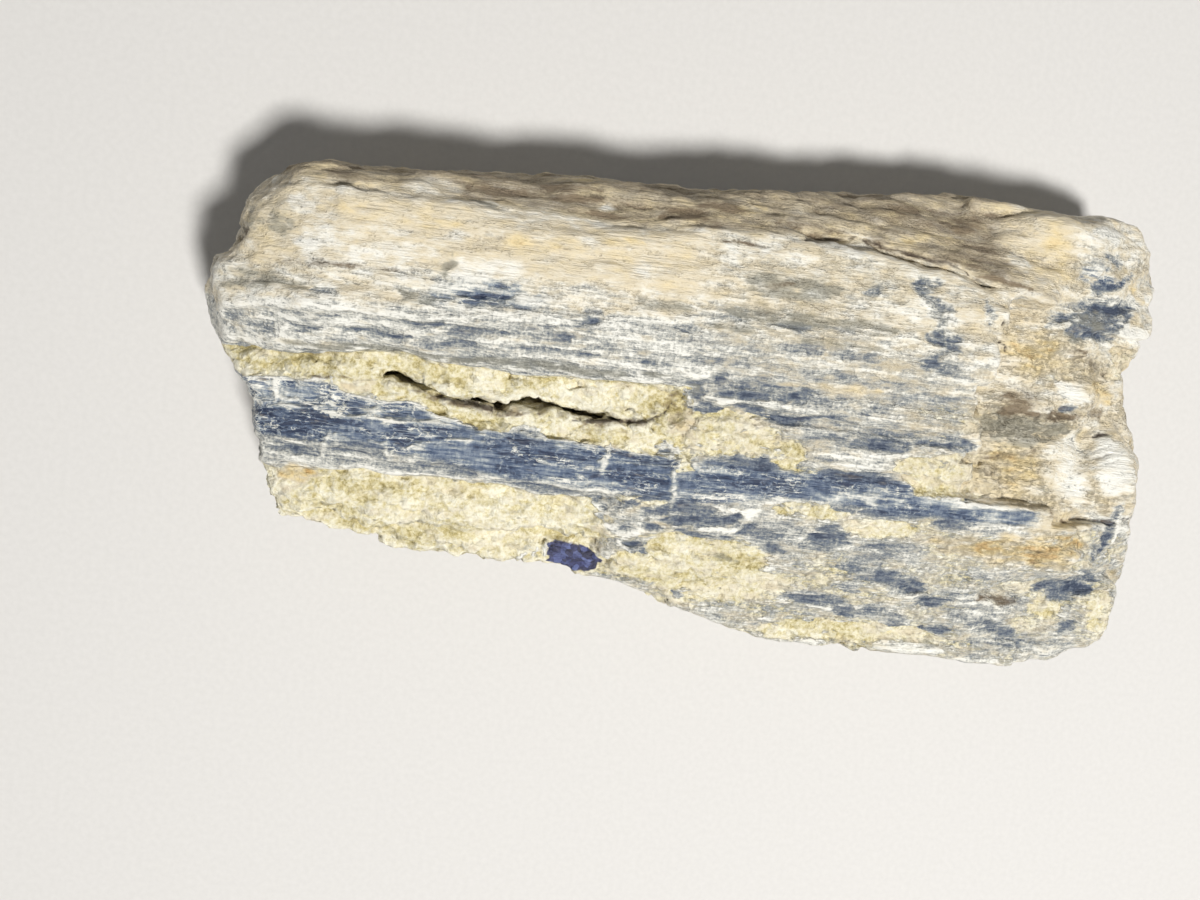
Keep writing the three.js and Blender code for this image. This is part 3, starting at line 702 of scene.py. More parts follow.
        (0.5, 0.5, ((331, 374), (334, 392), (336, 408))),
        (0.4, 0.6, ((382, 402), (373, 410), (365, 416))),
        (0.3, 0.6, ((278, 405), (300, 408), (330, 413), (345, 416), (380, 420), (442, 421))),
        (0.25, 0.8, ((262, 424), (285, 430), (305, 436), (330, 437), (360, 440), (385, 444))),
        (0.25, 0.5, ((330, 455), (356, 457), (382, 458))),
        (0.25, 0.6, ((398, 451), (420, 443), (450, 440), (492, 440))),
        (0.8, 0.45, ((404, 448), (422, 448))),
        (0.38, 0.7, ((336, 408), (328, 424), (325, 440), (323, 456))),
        (0.36, 0.5, ((388, 416), (386, 436), (384, 456))),
        (0.3, 0.8, ((528, 451), (540, 462), (560, 468), (592, 468))),
        # A painted glint
        (0.45, 0.8, ((514, 447), (517, 457))),
        (0.3, 0.7, ((534, 458), (549, 462))),
        (0.3, 0.7, ((558, 478), (575, 477), (592, 474))),
        (0.42, 0.8, ((609, 445), (605, 462), (599, 478))),
        (0.22, 0.6, ((612, 483), (640, 480), (666, 478))),
        (0.3, 0.5, ((641, 460), (645, 492))),
        (0.3, 0.5, ((624, 458), (628, 500))),
        (0.25, 0.6, ((628, 457), (652, 469))),
        (0.42, 0.7, ((677, 458), (673, 478), (674, 500), (668, 522))),
        (0.45, 0.9, ((546, 539), (544, 558))),
        (0.4, 0.9, ((539, 544), (531, 558))),
        (0.5, 0.8, ((528, 551), (517, 559))),
        (0.8, 0.6, ((604, 524), (625, 535), (642, 530))),
        (0.35, 0.7, ((617, 539), (633, 556))),
        (0.4, 0.6, ((483, 199), (501, 206))),
        (0.6, 0.7, ((600, 208), (614, 208))),
        (0.5, 0.7, ((718, 402), (738, 402))),
        (0.5, 0.4, ((806, 453), (850, 458), (902, 456), (952, 453))),
        (0.9, 0.4, ((832, 465), (850, 466), (878, 469))),
        (0.6, 0.6, ((698, 492), (714, 497))),
        (0.6, 0.7, ((712, 506), (740, 512), (762, 510))),
        (0.6, 0.7, ((698, 528), (730, 530), (746, 525))),
        (0.22, 0.8, ((800, 604), (832, 609))),
        (1.2, 0.6, ((872, 645), (940, 650))),
        (0.35, 0.7, ((1119, 503), (1116, 522), (1113, 542))),
        (4.2, 0.65, ((1068, 438), (1064, 468), (1076, 496))),
        (2.0, 0.4, ((300, 240), (325, 239), (348, 240))),
        (1.4, 0.4, ((352, 250), (395, 251), (436, 252))),
        (1.6, 0.4, ((404, 186), (430, 187), (460, 190))),
        (1.6, 0.4, ((460, 262), (495, 266), (524, 268))),
        (3.4, 0.8, ((1104, 446), (1116, 466), (1110, 490))),
        (1.3, 0.6, ((1056, 384), (1086, 400))),
        (1.2, 0.5, ((1006, 256), (1028, 266))),
        (1.4, 0.7, ((1118, 326), (1136, 342))),
    ),
    # Narrow open cracks, with their shadow painted in
    Mark.CRACK_AND_SHADOW: (
        (0.45, 0.8, ((438, 393), (461, 399), (481, 404), (502, 405))),
        (0.3, 0.7, (
            (567, 416.4), (591.5, 420.5), (624, 421.3), (648.6, 419.7), (662.9, 412.3), (675.1, 398.1),
        )),
        (0.4, 0.6, ((806, 239), (830, 240), (852, 238))),
        (0.25, 0.5, ((826, 473), (862, 477))),
        (0.30, 0.6, ((862, 240), (900, 250), (922, 256), (950, 265), (972, 274))),
        (0.22, 0.9, ((1003, 322), (1007, 335), (1005, 350))),
        (0.2, 0.35, ((1088, 454), (1100, 449), (1112, 446))),
        (0.2, 0.45, ((1090, 460), (1101, 457), (1112, 454))),
        (0.2, 0.35, ((1094, 468), (1106, 465), (1118, 460))),
        (0.35, 0.8, ((1094, 437), (1101, 434), (1108, 435))),
        (0.25, 0.6, ((1075, 527), (1081, 537), (1077, 552))),
    ),
    # The indigo crystal of the front edge
    Mark.INDIGO: (
        (1.2, 1.0, ((549, 543), (570, 548), (592, 554))),
    ),
}

# Marks given in plan, in millimetres: half the width, the strength and the line
PLAN_MARKS: Marks = {
    Mark.TAN: (
        (3.0, 1.0, ((37.6, -13.6), (44.0, -13.4), (48.1, -11.8))),
    ),
    Mark.OLIVE: (
        (2.0, 1.0, ((-36.2, 15.2), (-35.6, 15.2))),
        (3.0, 0.5, ((-59.3, 18.5), (-57.2, 18.4), (-54.2, 17.6))),
    ),
    Mark.BROWN: (
        # Painted shade along the fissure
        (0.6, 0.8, ((-41.0, 0.0), (-35.5, -1.0), (-31.0, -1.5), (-28.0, -2.2), (-24.0, -1.2))),
        (3.0, 0.2, ((-59.3, 19.5), (-57.2, 19.6), (-54.2, 18.2))),
    ),
    Mark.BLUE: (
        (2.0, 1.4, ((-38.0, 11.2), (-35.0, 11.9), (-32.3, 12.0), (-28.5, 12.0))),
        (1.4, 1.0, ((7.5, -7.4), (10.0, -7.6), (13.0, -7.4))),
        (0.9, 2.0, ((57.0, -5.6), (56.8, -9.5), (57.0, -12.9))),
        (2.4, 0.65, ((44.5, 16.5), (49.0, 17.8), (54.0, 19.0))),
    ),
    Mark.CLEAVED: (
        (2.2, 1.0, ((-37.5, 11.2), (-34.4, 12.0), (-31.0, 12.7), (-28.1, 13.0), (-25.4, 12.4))),
        (1.6, 0.8, ((44.8, 23.4), (48.2, 24.0), (51.9, 23.2))),
    ),
    Mark.CRACK_AND_SHADOW: (
        # The pit: painted shade in it
        (1.3, 0.35, ((-36.1, 15.2), (-35.7, 15.2))),
    ),
    Mark.INDIGO: (
        (1.1, 1.0, ((-19.1, -20.4), (-15.7, -20.9), (-12.4, -20.9))),
        (1.1, 1.0, ((-18.9, -21.4), (-15.7, -21.8), (-12.9, -21.8))),
    ),
}

# Clefts whose walls stand close together: the fissure in the seam
CLEFTS = (
    Stroke(Mark.CRACK_AND_SHADOW, 2.2, 1.0, ((-41.5, 0.2), (-30.0, -1.2), (-20.0, -1.8), (-11.0, -1.6), (-6.5, 1.2))),
)


@dataclass
class StoneCoats:
    """Works out which coats of the stone lie at each place of its surface."""

    strokes: tuple[Stroke, ...]
    seed: int = 5
    top_low: float = 8.0
    top_high: float = 14.0
    wander: float = 0.9
    ragged: float = 0.35
    band_fray: float = 1.6
    soft_fray: float = 1.2
    crisp_fray: float = 0.4
    stroke_wander: float = 0.25
    stroke_ragged: float = 0.4
    stroke_cover: float = 0.85
    stroke_gaps: float = 1.5
    stroke_most: float = 1.5
    streaked_blue: float = 0.18
    blotched_blue: float = 0.14
    mixed_quartz: Point = (0.15, 0.9)
    blotched_quartz: float = 0.45
    patched_stain: float = 0.22
    blotched_stain: float = 0.14
    streaked_dirt: float = 0.28
    blotched_dirt: float = -0.16
    unstained_blue: Point = (0.42, 0.62)
    hidden: Coats = Coats(blue=0.34, stain=0.22, dirt_and_shade=0.18, olive=0.15)
    hidden_blades: float = 0.55
    hidden_rust: float = 0.45
    hidden_streaks: float = 0.30
    hidden_clean: float = -0.2
    hidden_film: float = 0.4
    hidden_seams: Point = (0.05, 0.35)
    hidden_faces: Point = (0.12, 0.3)
    drift_grain: Triple = (8.0, 4.0, 4.0)
    fray_grain: Triple = (3.2, 0.8, 0.8)
    streak_grain: Triple = (26.0, 1.5, 1.5)
    blotch_grain: Triple = (13.0, 4.5, 4.5)
    mottle_grain: Triple = (5.0, 1.1, 1.1)
    patch_grain: Triple = (2.8, 1.7, 1.7)
    gap_grain: Triple = (2.8, 0.8, 0.8)
    blade_grain: Triple = (70.0, 6.0, 4.0)
    seam_grain: Triple = (45.0, 9.0, 7.0)
    rust_grain: Triple = (18.0, 8.0, 6.0)

    def drift(self, points: Array) -> Array:
        """How far the lines between bands stray across the blades, in shares of the wander."""
        return Grain(self.seed).layered(points, self.drift_grain, 2)

    def at(self, points: Array) -> dict[str, Array]:
        """Lays the bands and strokes on the top, and mixed blades on the rest.

        Args:
            points: places on the surface in millimetres, one row each.

        Returns:
            The amount of each coat at each place, by the coat's name.
        """
        drift = self.drift(points)
        fray = Grain(self.seed + 1).layered(points, self.fray_grain, 3)
        x = points[:, 0] + self.band_fray * fray
        y = points[:, 1] + self.wander * drift + self.ragged * fray
        streak = Grain(self.seed + 2).layered(points, self.streak_grain, 3)
        coats = self._hidden_sides(points, streak)
        top = smooth_step(self.top_low, self.top_high, points[:, 2])
        for band in BANDS:
            share = band.share(x, y) * top
            for name in COAT_NAMES:
                coats[name] += (getattr(band.coats, name) - coats[name]) * share
        self._vary(points, coats, streak)
        self._draw_marks(points, coats, drift, fray, top)
        coats["stain"] = coats["stain"] * (1.0 - smooth_step(*self.unstained_blue, coats["blue"]))
        coats["blue"] = np.minimum(coats["blue"], DEEPEST_BLUE)
        return {name: np.clip(coat, 0.0, 1.0) for name, coat in coats.items()}

    def _vary(self, points: Array, coats: dict[str, Array], streak: Array) -> None:
        """Breaks the even bands up with streaks, mottles, patches and blotches.

        Args:
            points: places on the surface in millimetres, one row each.
            coats: the amount of each coat by name, which is changed.
            streak: noise drawn out along the blades at those places.
        """
        blotch = Grain(self.seed + 3).layered(points, self.blotch_grain, 3)
        mottle = Grain(self.seed + 8).layered(points, self.mottle_grain, 3)
        patch = Grain(self.seed + 9).layered(points, self.patch_grain, 3)
        bladed = 1.0 - coats["quartz"]
        coats["blue"] += self.streaked_blue * (streak + mottle) * bladed + self.blotched_blue * blotch
        low, high = self.mixed_quartz
        mixed = (coats["quartz"] > low) & (coats["quartz"] < high)
        coats["quartz"] += self.blotched_quartz * blotch * mixed
        coats["stain"] += self.patched_stain * patch + self.blotched_stain * blotch
        coats["dirt_and_shade"] += self.streaked_dirt * streak + self.blotched_dirt * blotch

    def _draw_marks(
        self,
        points: Array,
        coats: dict[str, Array],
        drift: Array,
        fray: Array,
        top: Array,
    ) -> None:
        """Draws the marks of the top over the bands.

        Args:
            points: places on the surface in millimetres, one row each.
            coats: the amount of each coat by name, which is changed.
            drift: how far lines stray across the blades at those places.
            fray: fine noise that makes the marks ragged.
            top: how far each place belongs to the top.
        """
        for name in (CRACK_AND_SHADOW_NAME, INDIGO_NAME):
            coats[name] = np.zeros(len(points))
        soft_x = points[:, 0] + self.soft_fray * fray
        crisp_x = points[:, 0] + self.crisp_fray * fray
        y = points[:, 1] + self.stroke_wander * drift + self.stroke_ragged * fray
        gaps = Grain(self.seed + 7).layered(points, self.gap_grain, 3)
        broken = np.clip(self.stroke_cover + self.stroke_gaps * gaps, 0.0, self.stroke_most)
        for stroke in self.strokes:
            name, way = stroke.mark.value
            if stroke.mark in CRISP:
                share = stroke.share(crisp_x, y) * top
            else:
                share = stroke.share(soft_x, y) * top * broken
            for other in CLEARED.get(stroke.mark, ()):
                coats[other] = coats[other] * (1.0 - np.minimum(share, 1.0))
            coats[name] = coats[name] + way * share

    def _hidden_sides(self, points: Array, streak: Array) -> dict[str, Array]:
        """Lays mixed blades of blue, white and quartz on the sides and the underside.

        Args:
            points: places on the surface in millimetres, one row each.
            streak: noise drawn out along the blades at those places.

        Returns:
            The amount of each coat at each place, by the coat's name.
        """
        blades = Grain(self.seed + 4).layered(points, self.blade_grain, 3)
        seams = Grain(self.seed + 5).layered(points, self.seam_grain, 2)
        rust = Grain(self.seed + 6).layered(points, self.rust_grain, 3)
        return {
            "blue": self.hidden.blue + self.hidden_blades * blades,
            "quartz": smooth_step(*self.hidden_seams, seams),
            "stain": self.hidden.stain + self.hidden_rust * rust,
            "dirt_and_shade": self.hidden.dirt_and_shade + self.hidden_streaks * streak + self.hidden_clean * rust,
            "olive": self.hidden.olive + self.hidden_film * seams,
            "face": smooth_step(*self.hidden_faces, blades),
        }


@dataclass(frozen=True)
class Pattern:
    """A noise of the finish, with its grain along and across the blades in millimetres."""

    along: float
    across: float
    detail: float
    roughness: float = 0.55


@dataclass(frozen=True)
class Cover:
    """How a coat hides what lies under it: the amounts where that starts and is full, and its most."""

    low: float
    high: float
    most: float


@dataclass(frozen=True)
class KyaniteInQuartz:
    """Natural cleavage faces of kyanite with broken quartz and iron stain.

    Cleaved kyanite is pearly and striated along the blade, deep blue where the face is fresh, greyer under a
    film and white where it has flaked. Broken quartz is cream and sugary, and each grain catches the light on
    its own. Iron stain and dirt, and the painted shade laid in the same brown coat, are matt.
    """

    name: str = "kyanite_and_quartz_natural_cleavage"
    kyanite: Stops = (
        (0.10, "EEEBE0"),
        (0.30, "D9D8CF"),
        (0.45, "ABB0B0"),
        (0.60, "7F8994"),
        (0.78, "4A5B74"),
        (1.00, "1C2B46"),
    )
    filmed: Stops = (
        (0.10, "EEEBE0"),
        (0.30, "D8D6CB"),
        (0.45, "AFB0AB"),
        (0.60, "868B8E"),
        (0.78, "586270"),
        (1.00, "2B374C"),
    )
    quartz: Stops = (
        (0.06, "A3945F"),
        (0.22, "C8B983"),
        (0.36, "DACE9F"),
        (0.52, "EAE0BC"),
        (0.78, "FAF4DC"),
    )
    stain: Stops = ((0.15, "E6DCC4"), (0.42, "D7C9AB"), (0.75, "E2CC98"), (1.0, "CBA86C"))
    # The palest indigo stop, on some cells, is a painted highlight on the crystal's facets
    indigo: Stops = ((0.15, "171E4A"), (0.50, "2A336A"), (0.90, "5A679E"))
    # Brown of real dirt, and of painted shade in hollows, cracks and on the back slope
    dirt_and_shade: str = "75634A"
    olive: str = "8C897A"
    # Near-black brown: painted shadow in the cracks and the pit
    crack_and_shadow: str = "3E3127"
    ior: float = 1.63
    row: Pattern = Pattern(14.0, 0.8, 3.0)
    fleck: Pattern = Pattern(1.5, 0.40, 5.0, 0.70)
    chip: Pattern = Pattern(0.38, 1.0, 3.0)
    streak: Pattern = Pattern(7.0, 0.26, 3.0)
    speck: Pattern = Pattern(0.32, 0.22, 2.0)
    sugar: Pattern = Pattern(0.60, 0.60, 5.0, 0.68)
    cloud: Pattern = Pattern(7.0, 3.0, 3.0)
    rust: Pattern = Pattern(2.4, 0.9, 5.0, 0.66)
    scratch: Pattern = Pattern(7.0, 0.7, 3.0)
    web: Pattern = Pattern(2.6, 1.5, 4.0, 0.6)
    facet_size: float = 0.85
    bump_depth: float = 0.7
    bump_strength: float = 0.8
    crust_rough: float = 0.52
    face_rough: float = 0.34
    dirt_and_shade_rough: float = 0.3
    matt_from: float = 0.2
    matt_full: float = 0.8
    crust_whole: float = 0.2
    crust_gone: float = 0.7
    crust_height: float = 0.6
    streak_height: float = 0.4
    fleck_height: float = 0.5
    facet_height: float = 1.8
    quartz_cover: Cover = Cover(0.40, 0.60, 1.0)
    stain_cover: Cover = Cover(0.06, 0.42, 0.92)
    olive_cover: Cover = Cover(0.25, 0.85, 0.75)
    dirt_and_shade_cover: Cover = Cover(0.20, 0.95, 0.90)
    crack_shadow_cover: Cover = Cover(0.10, 0.75, 0.9)
    indigo_cover: Cover = Cover(0.30, 0.60, 0.95)
    flaws: tuple[tuple[str, float, float], ...] = (("scratch", 0.035, 0.42), ("web", 0.022, 0.42))
    flaw_from: float = 0.40
    flaw_full: float = 0.60
    crust_parts: Parts = (("row", 0.7), ("streak", 0.5), ("fleck", 1.3), ("chip", 0.55), ("speck", 0.6))
    # Its cloud part gives broad lighter and bluer patches on cleaved faces: partly tone that varies, partly
    # painted sheen
    face_parts: Parts = (("row", 0.7), ("streak", 0.6), ("fleck", 0.8), ("cloud", 2.0), ("chip", 0.4))
    # Its hollow part makes quartz darker in the hollows and lighter on crests: painted shade and light
    grain_parts: Parts = (("sugar", 0.7), ("cloud", 1.3), ("speck", 0.4), ("cell", 0.12), (HOLLOW_NAME, -0.4))
    stain_parts: Parts = (("rust", 0.8), ("cloud", 0.3))
    dirt_and_shade_parts: Parts = (("rust", -0.8), ("streak", 0.4), ("speck", 0.4))
    olive_parts: Parts = (("streak", 0.7), ("fleck", 0.7))
    quartz_parts: Parts = (("fleck", 0.9), ("sugar", 0.5), ("cloud", 0.5))
    indigo_parts: Parts = (("fleck", 1.2), ("speck", 0.6))

    def make(self) -> bpy.types.Material:
        """Builds the material from its coats.

        Returns:
            The finished material.
        """
        material = bpy.data.materials.new(self.name)
        material.use_nodes = True
        tree = material.node_tree
        tree.nodes.clear()
        noise = self._patterns(tree)
        coat = {}
        for name in (*COAT_NAMES, CRACK_AND_SHADOW_NAME, INDIGO_NAME, HOLLOW_NAME):
            coat[name] = add_node(tree, "ShaderNodeAttribute", {"attribute_name": name}).outputs["Fac"]
        noise[HOLLOW_NAME] = coat[HOLLOW_NAME]
        depth = self._depth(tree, coat, noise)
        fresh = add_node(tree, "ShaderNodeValToRGB", inputs={0: depth}, stops=self.kyanite).outputs[0]
        filmed = add_node(tree, "ShaderNodeValToRGB", inputs={0: depth}, stops=self.filmed).outputs[0]
        inputs = {0: coat["face"], 6: filmed, 7: fresh}
        colour = add_node(tree, "ShaderNodeMix", {"data_type": "RGBA"}, inputs).outputs[2]
        grain = self._varied(tree, noise["sugar"], self.grain_parts, noise)
        cream = add_node(tree, "ShaderNodeValToRGB", inputs={0: grain}, stops=self.quartz).outputs[0]
        rusted = self._varied(tree, coat["stain"], self.stain_parts, noise)
        rust = add_node(tree, "ShaderNodeValToRGB", inputs={0: rusted}, stops=self.stain).outputs[0]
        dirt_and_shade_amount = self._varied(tree, coat["dirt_and_shade"], self.dirt_and_shade_parts, noise)
        greyed = self._varied(tree, coat["olive"], self.olive_parts, noise)
        crystal = self._varied(tree, coat["quartz"], self.quartz_parts, noise)
        glass = self._varied(tree, noise["cell"], self.indigo_parts, noise)
        violet = add_node(tree, "ShaderNodeValToRGB", inputs={0: glass}, stops=self.indigo).outputs[0]
        layers = (
            (crystal, self.quartz_cover, cream),
            (rusted, self.stain_cover, rust),
            (greyed, self.olive_cover, linear_colour(self.olive)),
            (dirt_and_shade_amount, self.dirt_and_shade_cover, linear_colour(self.dirt_and_shade)),
            (coat[CRACK_AND_SHADOW_NAME], self.crack_shadow_cover, linear_colour(self.crack_and_shadow)),
            (coat[INDIGO_NAME], self.indigo_cover, violet),
        )
        for amount, cover, paint in layers:
            limits = {0: amount, 1: cover.low, 2: cover.high, 3: 0.0, 4: cover.most}
            eased = {"interpolation_type": "SMOOTHSTEP"}
            share = add_node(tree, "ShaderNodeMapRange", eased, limits).outputs[0]
            mixed = add_node(tree, "ShaderNodeMix", {"data_type": "RGBA"}, {0: share, 6: colour, 7: paint})
            colour = mixed.outputs[2]
        gloss = {0: coat["face"], 1: 0.0, 2: 1.0, 3: self.crust_rough, 4: self.face_rough}
        rough = add_node(tree, "ShaderNodeMapRange", inputs=gloss).outputs[0]
        matt = {0: dirt_and_shade_amount, 1: self.matt_from, 2: self.matt_full, 3: 0.0, 4: self.dirt_and_shade_rough}
        worn = add_node(tree, "ShaderNodeMapRange", inputs=matt).outputs[0]
        rough = add_node(tree, "ShaderNodeMath", {"operation": "ADD"}, {0: rough, 1: worn}).outputs[0]
        height = self._height(tree, crystal, depth, noise)
        inputs = {"Strength": self.bump_strength, "Distance": self.bump_depth * MM, "Height": height}
        normal = add_node(tree, "ShaderNodeBump", inputs=inputs).outputs[0]
        inputs = {"Base Color": colour, "Roughness": rough, "IOR": self.ior, "Normal": normal}
        shader = add_node(tree, "ShaderNodeBsdfPrincipled", inputs=inputs)
        add_node(tree, "ShaderNodeOutputMaterial", inputs={"Surface": shader.outputs[0]})
        return material

    def _depth(self, tree: bpy.types.NodeTree, coat: Sockets, noise: Sockets) -> bpy.types.NodeSocket:
        """Works out how blue the kyanite is.

        Args:
            tree: the material's node tree.
            coat: the coats' outputs by name.
            noise: the noises' outputs by name.

        Returns:
            From 0 for white flakes to 1 for the deepest blue.
        """
        crusty = self._varied(tree, coat["blue"], self.crust_parts, noise)
        cleaved = self._varied(tree, coat["blue"], self.face_parts, noise)
        depth = add_node(tree, "ShaderNodeMix", inputs={0: coat["face"], 2: crusty, 3: cleaved}).outputs[0]
        for name, width, strength in self.flaws:
            inputs = {0: noise[name], 1: NOISE_MIDDLE, 2: width}
            line = add_node(tree, "ShaderNodeMath", {"operation": "COMPARE"}, inputs).outputs[0]
            inputs = {0: line, 1: coat["face"]}
            shown = add_node(tree, "ShaderNodeMath", {"operation": "MULTIPLY"}, inputs).outputs[0]
            inputs = {0: noise["cloud"], 1: self.flaw_from, 2: self.flaw_full, 3: 0.0, 4: -strength}
            faded = add_node(tree, "ShaderNodeMapRange", inputs=inputs).outputs[0]
            inputs = {0: shown, 1: faded, 2: depth}
            depth = add_node(tree, "ShaderNodeMath", {"operation": "MULTIPLY_ADD"}, inputs).outputs[0]
        return depth

    def _patterns(self, tree: bpy.types.NodeTree) -> Sockets:
        """Adds every noise of the finish at its real size.

        Args:
            tree: the material's node tree.

        Returns:
            Each noise's output by its name, and the quartz grains' own values and tilted faces.
        """
        place = add_node(tree, "ShaderNodeTexCoord").outputs["Object"]
        found = {}
        names = ("row", "fleck", "chip", "streak", "speck", "sugar", "cloud", "rust", "scratch", "web")
        for name in names:
            pattern = getattr(self, name)
            scale = (1 / (pattern.along * MM), 1 / (pattern.across * MM), 1 / (pattern.across * MM))
            laid = add_node(tree, "ShaderNodeMapping", inputs={"Vector": place, "Scale": scale}).outputs[0]
            inputs = {"Vector": laid, "Scale": 1.0, "Detail": pattern.detail, "Roughness": pattern.roughness}
            found[name] = add_node(tree, "ShaderNodeTexNoise", inputs=inputs).outputs[0]
        scale = (1 / (self.facet_size * MM),) * 3
        laid = add_node(tree, "ShaderNodeMapping", inputs={"Vector": place, "Scale": scale}).outputs[0]
        cells = add_node(tree, "ShaderNodeTexVoronoi", inputs={"Vector": laid, "Scale": 1.0}).outputs
        middle = (NOISE_MIDDLE,) * 3
        less = {"operation": "SUBTRACT"}
        lean = add_node(tree, "ShaderNodeVectorMath", less, {0: cells["Color"], 1: middle})
        away = add_node(tree, "ShaderNodeVectorMath", less, {0: laid, 1: cells["Position"]})
        inputs = {0: lean.outputs[0], 1: away.outputs[0]}
        facet = add_node(tree, "ShaderNodeVectorMath", {"operation": "DOT_PRODUCT"}, inputs)
        found["facet"] = facet.outputs["Value"]
        found["cell"] = add_node(tree, "ShaderNodeSeparateColor", inputs={0: cells["Color"]}).outputs[0]
        return found

    @staticmethod
    def _varied(
        tree: bpy.types.NodeTree,
        amount: bpy.types.NodeSocket,
        parts: Parts,
        noise: Sockets,
    ) -> bpy.types.NodeSocket:
        """Breaks an even coat up with noises.

        Args:
            tree: the material's node tree.
            amount: the coat before it is broken up.
            parts: each noise's name and strength.
            noise: the noises' outputs by name.

        Returns:
            The broken coat.
        """
        for name, strength in parts:
            inputs = {0: noise[name], 1: strength, 2: -NOISE_MIDDLE * strength}
            part = add_node(tree, "ShaderNodeMath", {"operation": "MULTIPLY_ADD"}, inputs).outputs[0]
            amount = add_node(tree, "ShaderNodeMath", {"operation": "ADD"}, {0: amount, 1: part}).outputs[0]
        return amount

    def _height(
        self,
        tree: bpy.types.NodeTree,
        crystal: bpy.types.NodeSocket,
        depth: bpy.types.NodeSocket,
        noise: Sockets,
    ) -> bpy.types.NodeSocket:
        """Gives the fine relief: striations and flakes on the kyanite, grains on the quartz.

        Args:
            tree: the material's node tree.
            crystal: how far a place is quartz.
            depth: how blue a place is, which is how far its white crust has flaked off.
            noise: the noises' outputs by name.

        Returns:
            The height, from 0 to about 1.
        """
        inputs = {0: depth, 1: self.crust_whole, 2: self.crust_gone, 3: self.crust_height, 4: 0.0}
        lined = add_node(tree, "ShaderNodeMapRange", inputs=inputs).outputs[0]
        for name, height in (("streak", self.streak_height), ("fleck", self.fleck_height)):
            inputs = {0: noise[name], 1: height, 2: lined}
            lined = add_node(tree, "ShaderNodeMath", {"operation": "MULTIPLY_ADD"}, inputs).outputs[0]
        inputs = {0: noise["facet"], 1: self.facet_height, 2: noise["sugar"]}
        broken = add_node(tree, "ShaderNodeMath", {"operation": "MULTIPLY_ADD"}, inputs).outputs[0]
        inputs = {0: crystal, 1: self.quartz_cover.low, 2: self.quartz_cover.high, 3: 0.0, 4: 1.0}
        share = add_node(tree, "ShaderNodeMapRange", inputs=inputs).outputs[0]
        return add_node(tree, "ShaderNodeMix", inputs={0: share, 2: lined, 3: broken}).outputs[0]


@dataclass(frozen=True)
class PalePaper:
    """Matt paper roll of a studio: pale, even and without gloss."""

    name: str = "studio_paper_matt_rolled"
    light: str = "D3D0CB"
    dark: str = "CFCCC7"
    dark_at: float = 0.3
    light_at: float = 0.7
    fibre: float = 0.8
    rough: float = 0.9

    def make(self) -> bpy.types.Material:
        """Builds the material.

        Returns:
            The finished material.
        """
        material = bpy.data.materials.new(self.name)
        material.use_nodes = True
        tree = material.node_tree
        tree.nodes.clear()
        place = add_node(tree, "ShaderNodeTexCoord").outputs["Object"]
        inputs = {"Vector": place, "Scale": 1 / (self.fibre * MM)}
        mottle = add_node(tree, "ShaderNodeTexNoise", inputs=inputs)
        stops = ((self.dark_at, self.dark), (self.light_at, self.light))
        colour = add_node(tree, "ShaderNodeValToRGB", inputs={0: mottle.outputs[0]}, stops=stops).outputs[0]
        inputs = {"Base Color": colour, "Roughness": self.rough}
        shader = add_node(tree, "ShaderNodeBsdfPrincipled", inputs=inputs)
        add_node(tree, "ShaderNodeOutputMaterial", inputs={"Surface": shader.outputs[0]})
        return material


def mesh_points(mesh: bpy.types.Mesh) -> Array:
    """Reads a mesh's vertices, one row each."""
    flat = np.empty(len(mesh.vertices) * 3, np.float32)
    mesh.vertices.foreach_get("co", flat)
    return flat.reshape(-1, 3).astype(float)


def mesh_normals(mesh: bpy.types.Mesh) -> Array:
    """Reads the direction that each vertex faces, one row each."""
    flat = np.empty(len(mesh.vertices) * 3, np.float32)
    mesh.vertex_normals.foreach_get("vector", flat)
    return flat.reshape(-1, 3).astype(float)


def move_points(mesh: bpy.types.Mesh, points: Array) -> None:
    """Puts a mesh's vertices at new places."""
    mesh.vertices.foreach_set("co", points.astype(np.float32).ravel())
    mesh.update()


def evened(mesh: bpy.types.Mesh, values: Array, rounds: int) -> Array:
    """Averages values over neighbouring vertices.

    Args:
        mesh: the mesh whose edges join the neighbours.
        values: one row per vertex.
        rounds: how often each vertex takes the mean of its neighbours.

    Returns:
        The evened values, one row per vertex.
    """
    ends = np.empty(len(mesh.edges) * 2, np.int32)
    mesh.edges.foreach_get("vertices", ends)
    first, second = ends.reshape(-1, 2).T
    size = len(mesh.vertices)
    count = np.maximum(np.bincount(ends, minlength=size), 1)
    for _ in range(rounds):
        sums = []
        for column in values.T:
            forward = np.bincount(first, column[second], size)
            sums.append((forward + np.bincount(second, column[first], size)) / count)
        values = np.stack(sums, axis=1)
    return values


